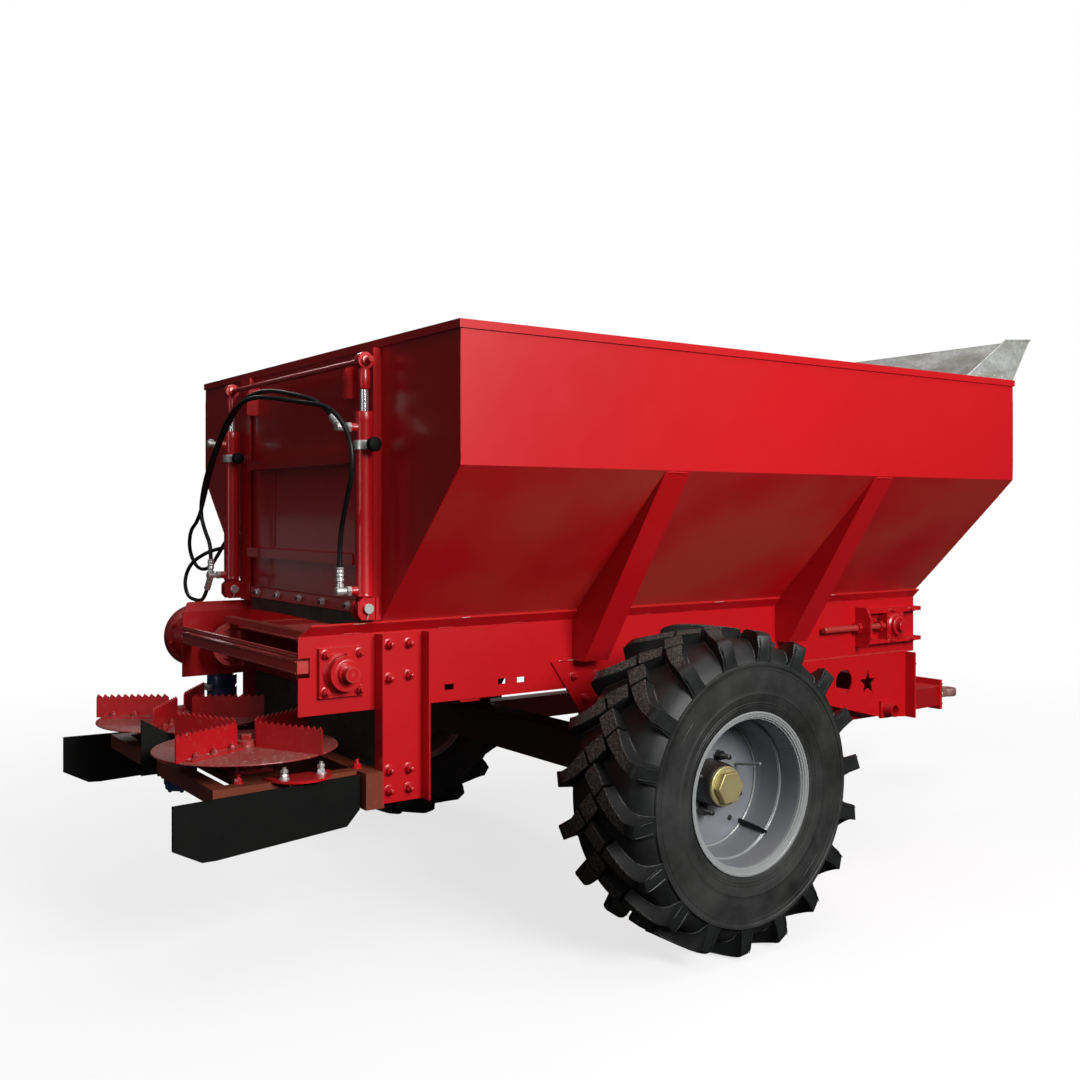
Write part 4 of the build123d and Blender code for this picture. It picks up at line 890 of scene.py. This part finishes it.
# Turned parts as (distance along the axis, radius)
BARREL = mm(
    (1170, 18), (1186, 20), (1190, 28.5), (1194, 31), (1197.5, 31.5), (1201, 30.3), (1204, 30),
    (1756, 30), (1759, 30.5), (1762, 31.2), (1790, 31.2), (1795, 29.5), (1796.5, 20), (1796.8, 15),
)
ROD_NECK = mm((1866, 14), (1868, 17.5), (1872, 19.5), (1900, 20), (1927, 19.5), (1937, 15.5))
CLAMP_RING = mm((1670, 31.2), (1670, 34.2), (1671, 35), (1699, 35), (1700, 34.2), (1700, 31.2))
KNOB = mm((0, 10), (4, 12), (6, 21), (10, 23.5), (26, 24), (31, 21), (34, 14))


def bar(radius, length, edge):
    """A round bar with its ends turned down."""
    return [(0, radius - edge), (edge, radius), (length - edge, radius), (length, radius - edge)]


def eye(bore, edge):
    """The ring of a cylinder's eye, about its bore."""
    return [(0, bore), *bar(0.028, 0.03, edge), (0.03, bore)]


def make_cylinders():
    """Gland and base beads on the barrels, rod ends with their eyes, clamp rings, knobs and pins."""
    barrel, rod, chrome, ring, knob, pins, lift = [Piece() for _ in range(7)]
    for side in SIDES:
        y = side * CYLINDER_Y
        base = (CYLINDER_X, y, 0)
        barrel.lathe(base, Z, BARREL, 48)
        barrel.lathe((CYLINDER_X, y - 0.015, PIN_Z), Y, eye(0.0143, 0.001), 36, closed=True)
        for height in PORT_HEIGHTS:
            port = mm((0, 16), (6, 14.5), (24, 13.5), (26, 12))
            barrel.lathe((CYLINDER_X - 0.028, y, height), -X, port, 24)
        rod.lathe((CYLINDER_X, y - 0.015, LIFT_BAR_Z), Y, eye(0.0105, 0.0015), 36, closed=True)
        rod.lathe(base, Z, ROD_NECK, 32)
        chrome.lathe(base, Z, mm((1300, 14), (1872, 14)), 36)
        ring.lathe(base, Z, CLAMP_RING, 48, closed=True)
        for x in (CYLINDER_X - 0.01, CYLINDER_X + 0.006):
            ring.box((x, y - 0.056, CLAMP_Z - 0.009), (x + 0.004, y - 0.031, CLAMP_Z + 0.009))
        screw = mm((0, 7), (4, 7), (5, 5.5))
        ring.lathe((CYLINDER_X - 0.011, y - 0.045, CLAMP_Z), -X, screw, 16)
        knob.lathe((CYLINDER_X, y - 0.052, CLAMP_Z), -Y, KNOB, 32)
        pins.lathe((CYLINDER_X, y - 0.038, PIN_Z), Y, bar(0.014, 0.076, 0.0015), 32)
        for end in SIDES:
            washer = mm((0, 15), (0.5, 16.8), (3, 16.8), (4.2, 15.5))
            pins.lathe((CYLINDER_X, y + end * 0.0345, PIN_Z), Y * end, washer, 32)
        for end in SIDES:
            cotter = ((0, 0.018), (0, -0.02), (-0.006, -0.036))
            pins.tube([(CYLINDER_X + x, y + end * 0.032, PIN_Z + z) for x, z in cotter], 0.0018, 6)
    barrel.put("barrels_detail", "red_paint", hides="cylinder_barrels")
    rod.put("rod_eyes", "red_paint", "gate")
    chrome.put("rod_bars", "chrome", "gate", hides="cylinder_rods")
    ring.put("clamp_rings_detail", "bright_steel", slot="steel", hides="clamp_rings")
    knob.put("clamp_knobs_detail", "black_rubber", hides="clamp_knobs")
    pins.put("cylinder_pins_detail", "bright_steel", slot="steel", hides="cylinder_pins")
    end_y = CYLINDER_Y + 0.055
    lift.lathe((CYLINDER_X, -end_y, LIFT_BAR_Z), Y, bar(0.01, 2 * end_y, 0.0015), 28)
    for side in SIDES:
        for shift in (-0.022, 0.022):
            collar = mm((0, 13), (1, 17), (8, 17), (9, 13))
            lift.lathe((CYLINDER_X, side * CYLINDER_Y + shift - 0.0045, LIFT_BAR_Z), Y, collar, 24)
    lift.put("lift_bar_detail", "red_paint", "gate", hides="lift_bar")


def make_gate():
    """The gate's wavy rubber flap and its clamp strip, bolts, joint welds and the raised band."""
    rng = random.Random(3)
    flap = Piece()
    loops = []
    flap_x, steps = GATE_REAR_X - 0.0075, 40
    for step in range(steps + 1):
        y = -FLAP_HALF + 2 * FLAP_HALF * step / steps
        wave = 0.0012 * math.sin(9 * y) + 0.0006 * math.sin(31 * y)
        low = Vector((flap_x + wave, y, FLAP_FOOT_Z + 0.002 * math.sin(6 * y)))
        high = Vector((flap_x, y, FLAP_TOP_Z))
        loops.append(flap.loop([low, high, high + X * 0.006, low + X * 0.006]))
    flap.join(loops)
    flap.cap(loops)
    flap.put("gate_flap_sheet", "curtain_rubber", "gate", "black_rubber", "gate_flap")
    strip = Piece()
    strip.box((GATE_REAR_X - 0.0115, -0.476, 1.128), (GATE_REAR_X - 0.0078, 0.476, 1.17))
    strip.put("gate_clamp_strip", "red_paint", "gate", bevel=0.0012)
    bolts, ends = Piece(rng), Piece()
    for y in (-0.4, -0.2, 0.0, 0.2, 0.4):
        spot = Vector((GATE_REAR_X - 0.0114, y, 1.149))
        bolts.bolt(spot, -X, across=0.022, washer=0.0165, head=0.42)
        ends.lathe(spot - X * 0.011, -X, mm((0, 6.5), (8.5, 6.5), (10, 5)), 16)
    bolts.put("gate_bolts", "bright_steel", "gate", "steel")
    ends.put("gate_bolt_ends", "dark_steel", "gate", "steel")
    welds = Piece(rng)
    x = GATE_REAR_X - 0.001
    for z in RAIL_EDGES_Z:
        welds.weld((x, -0.47, z), (x, 0.47, z), 0.0028, gap=0.1)
    x = GATE_REAR_X + 0.001
    for side in SIDES:
        for y in (side * 0.43 - 0.005, side * 0.43 + 0.005):
            welds.weld((x, y, 1.856), (x, y, 1.91), 0.0026)
    welds.put("gate_welds", "red_paint", "gate")
    bands = Piece()
    bands.box((GATE_REAR_X - 0.0025, 0.255, 1.335), (GATE_REAR_X - 0.0002, 0.325, 1.625))
    bands.put("gate_band", "red_paint", "gate", bevel=0.0008)


# ---- frame, legs and bearings
LEG_REAR_X = AXLE_X - 1.015
# the outer face of the right side beam
FACE_Y = -FRAME_HALF
REAR_SHAFT_X = AXLE_X - 1.14
FRONT_SHAFT_X = AXLE_X + 1.616
SHAFT_Z = 0.95
BRACKET_TOP_Z = 0.921
BEAM_TOP_Z = 1.071
SUBFRAME_TOP_Z = 0.817
# the rear edge of each strut
STRUT_X = (AXLE_X - 0.2, AXLE_X + 0.88)
BEARING_RING = mm(
    (-2, 70), (4, 68), (8, 64), (12, 56), (30, 52), (37, 49), (39, 45), (39.5, 38), (34, 36), (34, 25.6),
)
GREASE_NIPPLE = mm((0, 4), (12, 3.5), (14, 4.5), (17, 3))
SHAFT_END = mm((0, 25.3), (42, 25.3), (45.5, 21.5), (45.5, 6), (41.5, 4))
TAKEUP_RING = mm((-2, 56), (3, 54), (8, 46), (23, 43), (26, 38), (26.5, 33), (22, 25.6))


def make_frame_details():
    """Bolts, welds and a painted shadow line under the sub-frame's top edge, made on the right and mirrored.
    """
    rng = random.Random(8)
    bolts = Piece(rng)
    for z in (1.03, 0.918, 0.608, 0.544):
        for shift in (0.049, 0.124):
            spot = (LEG_REAR_X + shift, FACE_Y - 0.006, z + rng.uniform(-0.003, 0.003))
            bolts.bolt(spot, -Y, across=0.026, washer=0.019, head=0.62, tip=0.013)
    # the sub-frame's front flange, the axle saddles and the strut brackets
    for z in (0.56, 0.66, 0.76):
        bolts.bolt((AXLE_X + 1.762, FACE_Y - 0.025, z), X, across=0.027, washer=0.019, tip=0.012)
    for x in (AXLE_X - 0.085, AXLE_X + 0.085):
        for z in (0.72, 0.77):
            bolts.bolt((x, FACE_Y, z), -Y, across=0.026, washer=0.019, tip=0.012)
    for strut_x in STRUT_X:
        for x, z in ((0.0, 0.86), (0.11, 0.86), (0.055, 0.775)):
            bolts.bolt((strut_x + x, FACE_Y - 0.008, z), -Y, across=0.022, washer=0.016, tip=0.008)
    welds, pale, shadow_line = Piece(rng), Piece(rng), Piece()
    for strut_x in STRUT_X:
        # strut to hopper, strut to its bracket, bracket to frame
        welds.weld_x(strut_x, strut_x + 0.112, -HOPPER_HALF + 0.006, HOPPER_BEND_Z - 0.006, 0.0042)
        z = BRACKET_TOP_Z + 0.001
        welds.weld((strut_x - 0.002, FACE_Y - 0.03, z), (strut_x + 0.114, FACE_Y - 0.07, z), 0.004)
        welds.weld_x(strut_x - 0.09, strut_x + 0.17, FACE_Y - 0.009, BRACKET_TOP_Z, 0.0035, gap=0.03)
    welds.weld_x(AXLE_X - 1.28, AXLE_X + 1.8, FACE_Y - 0.001, BEAM_TOP_Z, 0.0022, gap=0.22)
    welds.weld_x(AXLE_X - 0.2, AXLE_X + 1.74, FACE_Y - 0.0005, SUBFRAME_TOP_Z, 0.003, gap=0.16)
    for strut_x in STRUT_X:
        pale.weld_x(strut_x - 0.1, strut_x + 0.17, FACE_Y - 0.0095, BRACKET_TOP_Z - 0.0005, 0.0012, gap=0.16)
    pale.weld_x(AXLE_X - 1.26, AXLE_X + 1.7, -0.5945, 1.1045, 0.001, gap=0.6)
    # the lap where the sub-frame's plate meets the web: a thin strip in red_shade along it, a painted shadow
    # line
    shadow_line.box((AXLE_X - 0.146, FACE_Y - 0.0006, 0.8195), (AXLE_X + 1.758, FACE_Y + 0.002, 0.824))
    for piece, name, material, slot in (
        (bolts, "frame_bolts", "red_paint", "red_paint"), (welds, "frame_welds", "red_paint", "red_paint"),
        (pale, "bare_welds", "zinc", "steel"), (shadow_line, "subframe_shadow_line", "red_shade", "red_paint"),
    ):
        piece.mirror_y()
        piece.put(name, material, slot=slot)


def corners(half):
    """The four corners of a square upright plate, from its centre."""
    return [Vector((x * half, 0, z * half)) for x in SIDES for z in SIDES]


def make_rear_shaft():
    """The rear shaft's flanged bearing and end, on the right."""
    flange = Piece(random.Random(21))
    centre = Vector((REAR_SHAFT_X, FACE_Y - 0.016, SHAFT_Z))
    flange.lathe(centre, -Y, BEARING_RING, 48)
    for spoke in spokes(12):
        flange.lathe(centre + spoke * 0.062, -Y, mm((0, 4.5), (8, 3.5), (10, 2)), 8)
    flange.lathe(centre - Y * 0.02 + Z * 0.052, (0.2, -0.5, 1), GREASE_NIPPLE, 10)
    for corner in corners(0.06):
        flange.bolt(centre + corner, -Y, across=0.024, washer=0.0175, tip=0.012)
    flange.put("rear_bearing_ring", "red_paint")
    shaft = Piece()
    centre = (REAR_SHAFT_X, FACE_Y - 0.05, SHAFT_Z)
    shaft.lathe(centre, -Y, SHAFT_END, 36)
    shaft.lathe(centre, -Y, mm((0, 34), (14, 34), (16, 32)), 36)
    shaft.put("rear_shaft_end", "red_paint")
    lips = Piece()
    x = AXLE_X - 1.2865
    edges = ((-0.001, 0.99, 0.0035), (-0.001, 0.954, 0.003), (0.0385, 0.9925, 0.003), (0, 1.0065, 0.003))
    for shift, z, radius in edges:
        lips.tube([(x + shift, FACE_Y + 0.014, z), (x + shift, FRAME_HALF - 0.014, z)], radius, 8)
    lips.put("rear_crossbar_lips", "red_worn", slot="red_paint")


def make_takeups():
    """The front shaft's sliding bearings and their screws, made on the right and mirrored."""
    takeup, shield, thread, ends = [Piece() for _ in range(4)]
    centre = Vector((FRONT_SHAFT_X, FACE_Y - 0.05, SHAFT_Z))
    takeup.lathe(centre, -Y, TAKEUP_RING, 40)
    for corner in corners(0.044):
        takeup.lathe(centre + corner, -Y, mm((0, 8), (3, 8), (4, 6)), 16)
    takeup.lathe(centre - Y * 0.018, -Y, mm((0, 25.2), (26, 25.2), (28, 23)), 32)
    screw_y = FACE_Y - 0.028
    for x in (1.369, 1.405, 1.52):
        takeup.hexagon((AXLE_X + x, screw_y, SHAFT_Z), X, 0.042, 0.024)
    takeup.mirror_y()
    takeup.put("takeup_details", "red_paint")
    low = (AXLE_X + 1.515, FRAME_HALF - 0.012, SHAFT_Z - 0.048)
    shield.box(low, (AXLE_X + 1.58, FRAME_HALF - 0.0085, SHAFT_Z + 0.048))
    shield.mirror_y()
    shield.put("takeup_shields", "red_shade", slot="red_paint", bevel=0.0008)
    rings = [(0, 0.0118)]
    for turn in range(96):
        at = 0.003 + turn * 0.0042
        rings += [(at, 0.014), (at + 0.0012, 0.0142), (at + 0.003, 0.0122)]
    thread.lathe((AXLE_X + 1.155, screw_y, SHAFT_Z), X, rings, 18)
    thread.mirror_y()
    thread.put("takeup_threads", "red_shade", slot="steel", hides="takeup_screws")
    for side in SIDES:
        for z in (SHAFT_Z - 0.069, SHAFT_Z + 0.069):
            for x in (1.6, 1.74):
                spot = (AXLE_X + x, side * (FRAME_HALF + 0.042), z)
                ends.bolt(spot, Y * side, across=0.019, washer=0.013, tip=0.006)
    ends.put("takeup_bolts", "red_paint")


# ---- hopper
SEAL_TOP_Z = 1.112


def make_hopper_details():
    """Corner welds, the sheet that closes the floor ahead of the conveyor, and pale dashes along the rear
    rim's top edge: a painted highlight.
    """
    rng = random.Random(17)
    welds, seal, pale = [Piece(rng) for _ in range(3)]
    y, low = -HOPPER_HALF + 0.001, HOPPER_BEND_Z
    for x in (HOPPER_REAR_X + 0.001, HOPPER_FRONT_X - 0.001):
        welds.weld((x, y, low), (x, y, HOPPER_TOP_Z - 0.03), 0.0024)
        welds.weld((x, y, low), (x, -0.605, low - HOPPER_HALF + 0.605), 0.0024)
    welds.mirror_y()
    welds.put("hopper_corner_welds", "red_paint")
    rear, front = AXLE_X + 1.575, HOPPER_FRONT_X - 0.0035
    foot = [(rear, y, 1.064) for y in (-0.548, 0.548)]
    seal.prism(foot + [(front, y, SEAL_TOP_Z) for y in (0.572, -0.572)], Z * 0.004)
    seal.box((front - 0.004, -0.572, SEAL_TOP_Z), (front, 0.572, SEAL_TOP_Z + 0.036))
    for step in range(8):
        seal.bolt((front - 0.004, -0.49 + 0.14 * step, 1.133), -X, across=0.013, washer=0.0)
    seal.put("hopper_front_sheet", "red_shade", slot="red_paint")
    # pale dashes along the rear rim's top edge: a painted highlight
    x, z = HOPPER_REAR_X - 0.007, HOPPER_TOP_Z - 0.0015
    pale.weld((x, -1.03, z), (x, 1.06, z), 0.001, gap=0.55)
    pale.put("rim_edge_highlights", "zinc", slot="steel")


def make_apron_details():
    """Folded lips and rivets on the galvanised apron over the front wall."""
    lips = Piece()
    rise = 0.189
    # the apron's side as (x from the axle, z): its rear foot, its bend and its top
    side_line = ((1.466, HOPPER_TOP_Z), (1.744, HOPPER_TOP_Z + 0.92 * rise), (1.926, HOPPER_TOP_Z + rise))
    for start, end in zip(side_line, side_line[1:]):
        for side in SIDES:
            y = side * (HOPPER_HALF - 0.0015)
            lips.tube([(AXLE_X + x, y, z - 0.0045) for x, z in (start, end)], 0.004, 10)
    lips.tube([(AXLE_X + 1.923, side * (HOPPER_HALF - 0.003), 2.2228) for side in SIDES], 0.0038, 10)
    for side in SIDES:
        for step in range(6):
            rivet = (AXLE_X + 1.5 + 0.054 * step, side * HOPPER_HALF, 2.049)
            lips.lathe(rivet, Y * side, mm((0, 5.5), (1.5, 5), (2.6, 3)), 12)
    lips.put("apron_lips", "galvanised")


# ---- discs, blades and their frame
DISC_X = AXLE_X - 1.368
DISC_Y = 0.328
DISC_Z = 0.692
BLADE_TURN = {"right": 27, "left": -35}
DISC_PLATE = mm(
    (0, 100), (0, 296.2), (0.8, 298.2), (3, 299), (5.2, 298.2), (6.2, 296), (6.2, 36), (26, 34),
    (28, 31), (28, 10),
)
DISC_STEM = mm((-1, 60), (10, 58), (12, 30), (70, 20.5))


def make_discs():
    for name, side in SIDE_OF.items():
        body = f"disc_{name}"
        centre = Vector((DISC_X, side * DISC_Y, DISC_Z))
        rim = Piece()
        rim.lathe(centre, Z, DISC_PLATE, 96)
        rim.hexagon(centre + Z * 0.028, Z, 0.036, 0.018)
        rim.lathe(centre, -Z, DISC_STEM, 32)
        rim.put(f"disc_{name}_plate", "red_worn", body, "red_paint", f"disc_{name}")
        bolts = Piece(random.Random(side + 4))
        for along in spokes(4, math.radians(BLADE_TURN[name]), Y):
            across = Z.cross(along)
            for reach in (0.085, 0.165, 0.245):
                spot = centre + along * reach + across * 0.018 + Z * 0.011
                bolts.bolt(spot, Z, across=0.017, washer=0.0125, tip=0.006)
            # the bead where the blade stands on its foot
            low = centre + along * 0.05 + across * 0.004 + Z * 0.0115
            bolts.weld(low, low + along * 0.24, 0.003)
        bolts.put(f"blades_{name}_bolts", "red_worn", body, "red_paint")


def make_deflector_details():
    rng = random.Random(13)
    bolts, studs = Piece(rng), Piece(rng)
    for x, y in ((-1.335, -0.565), (-1.205, -0.555)):
        spot = Vector((AXLE_X + x, y, 0.628))
        studs.bolt(spot, Z, across=0.022, washer=0.017, tip=0.022)
        studs.hexagon(spot + Z * 0.02, Z, 0.022, 0.01, turn=0.4)
    for x, y in ((-1.46, -0.5), (-1.06, -0.52)):
        bolts.bolt((AXLE_X + x, y, 0.62), Z, across=0.022, washer=0.017, tip=0.014)
    for x in (-0.045, 0.045):
        for y in (-0.045, 0.045):
            spot = (DISC_X + x, -DISC_Y + y, 0.632)
            bolts.bolt(spot, Z, across=0.017, washer=0.012, tip=0.004, turn=0.0)
    studs.mirror_y()
    bolts.mirror_y()
    studs.put("deflector_studs", "bright_steel", slot="steel")
    bolts.put("disc_frame_bolts", "red_paint")


# ---- drives
REDUCER = mm(
    (0, 85), (4, 108), (12, 110), (225, 110), (229, 122), (233, 128), (284, 128), (290, 124),
    (290.5, 90), (286, 86), (286, 30), (289.5, 26), (289.5, 10),
)
REDUCER_RIB = mm((0, 109), (2, 114.5), (6, 114.5), (8, 109))
MOTOR_TOP = mm(
    (0, 60), (12, 60), (13, 50), (40, 50), (42, 58.5), (50, 60), (82, 60), (84, 55), (90, 55), (92, 60),
)
MOTOR_END = mm((22, 60), (20, 56), (4, 55), (0, 50))


def make_reducer():
    case = Piece()
    centre = Vector((REAR_SHAFT_X, FRAME_HALF, SHAFT_Z))
    case.lathe(centre, Y, REDUCER, 64)
    for index, spoke in enumerate(spokes(10, 0.2)):
        case.bolt(centre + spoke * 0.117 + Y * 0.229, -Y, across=0.016, washer=0.0, head=0.7)
        if index % 2 == 0:
            case.bolt(centre + spoke * 0.105 + Y * 0.29, Y, across=0.016, washer=0.0)
    for shift in (0.05, 0.09, 0.13, 0.17):
        case.lathe(centre + Y * shift, Y, REDUCER_RIB, 64)
    plug = mm((0, 13), (10, 13), (12, 9), (20, 9))
    case.lathe(centre + Vector((0.02, 0.11, 0.108)), Z, plug, 6)
    case.box(centre + Vector((0.02, 0.06, -0.11)), centre + Vector((0.12, 0.16, 0.06)))
    case.put("reducer_detail", "red_paint", hides="conveyor_reducer", bevel=0.0015)


def make_motors():
    """The conveyor's motor and both discs', each with its ports."""
    motor, ports = Piece(), Piece()
    places = [(REAR_SHAFT_X + 0.06, FRAME_HALF + 0.118, SHAFT_Z - 0.26, SHAFT_Z - 0.11)]
    places += [(DISC_X, side * DISC_Y, 0.432, 0.6) for side in SIDES]
    for x, y, low, high in places:
        foot = [(high - low - up, radius) for up, radius in MOTOR_END]
        motor.lathe((x, y, high), -Z, MOTOR_TOP + foot, 40)
        for spoke in spokes(6, 0.3, Y):
            motor.bolt(Vector((x, y, low + 0.002)) + spoke * 0.046, -Z, across=0.013, washer=0.0)
        for shift in (-0.024, 0.024):
            port = mm((0, 15), (14, 15), (16, 11), (26, 11))
            ports.lathe((x - 0.052, y + shift, low + 0.06), -X, port, 6)
    motor.put("motors_detail", "blue_paint", hides="hydraulic_motors")
    ports.put("motor_ports", "zinc", slot="chrome")


# ---- drawbar and jack
HEAD_X = AXLE_X + 2.66
TOW_EYE = mm((-22, 26.2), (-22, 52), (-18, 56.5), (0, 57.8), (18, 56.5), (22, 52), (22, 26.2))
JACK_X = AXLE_X + 1.6
JACK_Y = 0.72
JACK_PIN_Y = 0.586
CRANK_GRIP = mm((0, 9), (4, 12.5), (70, 14.5), (80, 12), (84, 6))
TUBE_CAP = mm((0, 30), (4, 30), (6, 24), (20, 20), (36, 16))


def make_drawbar_details():
    rng = random.Random(41)
    bolts, welds, eye = Piece(rng), Piece(rng), Piece()
    for y in (-0.072, 0.072):
        for z in (0.418, 0.472, 0.526):
            bolts.bolt((HEAD_X + 0.022, y, z), X, across=0.026, washer=0.018, tip=0.012)
    bolts.put("drawbar_bolts", "zinc", slot="steel")
    x = AXLE_X + 1.753
    for side in SIDES:
        for z in (0.513, 0.611):
            welds.weld((x, side * 0.4, z), (x, side * 0.48, z), 0.004)
        welds.weld((AXLE_X + 2.4, side * 0.148, 0.522), (AXLE_X + 2.655, side * 0.094, 0.522), 0.0035)
    welds.put("drawbar_welds", "red_paint")
    eye.lathe((AXLE_X + 2.845, 0, 0.462), Z, TOW_EYE, 48, closed=True)
    eye.box((HEAD_X + 0.022, -0.038, 0.44), (AXLE_X + 2.815, 0.038, 0.484))
    eye.put("tow_eye_forging", "tow_steel", hides="tow_eye", bevel=0.003)


def make_jack_details():
    holes, trim, pin = [Piece() for _ in range(3)]
    # black discs in place of the pin holes in the tube: painted shade
    for z in (0.32, 0.4, 0.48, 0.7, 0.78, 0.86):
        holes.lathe((JACK_X, JACK_Y + 0.0322, z), Y, mm((-1, 9), (0.6, 9)), 20)
    holes.put("jack_holes", "black_paint", "jack_swivel")
    trim.lathe((JACK_X, JACK_Y, 0.93), Z, TUBE_CAP, 28)
    trim.lathe((JACK_X, JACK_Y + 0.121, 0.972), Z, CRANK_GRIP, 24)
    trim.put("jack_crank_grip", "black_paint", "jack_swivel")
    pin.tube([(JACK_X, JACK_PIN_Y, 0.616), (JACK_X, JACK_PIN_Y, 0.508)], 0.006, 14)
    clip = ((0, 0.612), (0.012, 0.624), (0.03, 0.618), (0.036, 0.6), (0.024, 0.586))
    pin.tube([(JACK_X + x, JACK_PIN_Y, z) for x, z in clip], 0.002, 8)
    pin.put("jack_pin", "zinc", "jack_swivel")


# ---- run
bpy.context.scene.view_settings.view_transform = "Standard"
make_materials()
make_camera()
make_hoses()
make_studio()
dress_nodes()
make_fittings()
for wheel, wheel_side in SIDE_OF.items():
    make_tyre(wheel, wheel_side)
    make_rim(wheel, wheel_side)
make_cylinders()
make_gate()
make_frame_details()
make_rear_shaft()
make_takeups()
make_hopper_details()
make_apron_details()
make_discs()
make_deflector_details()
make_reducer()
make_motors()
make_drawbar_details()
make_jack_details()
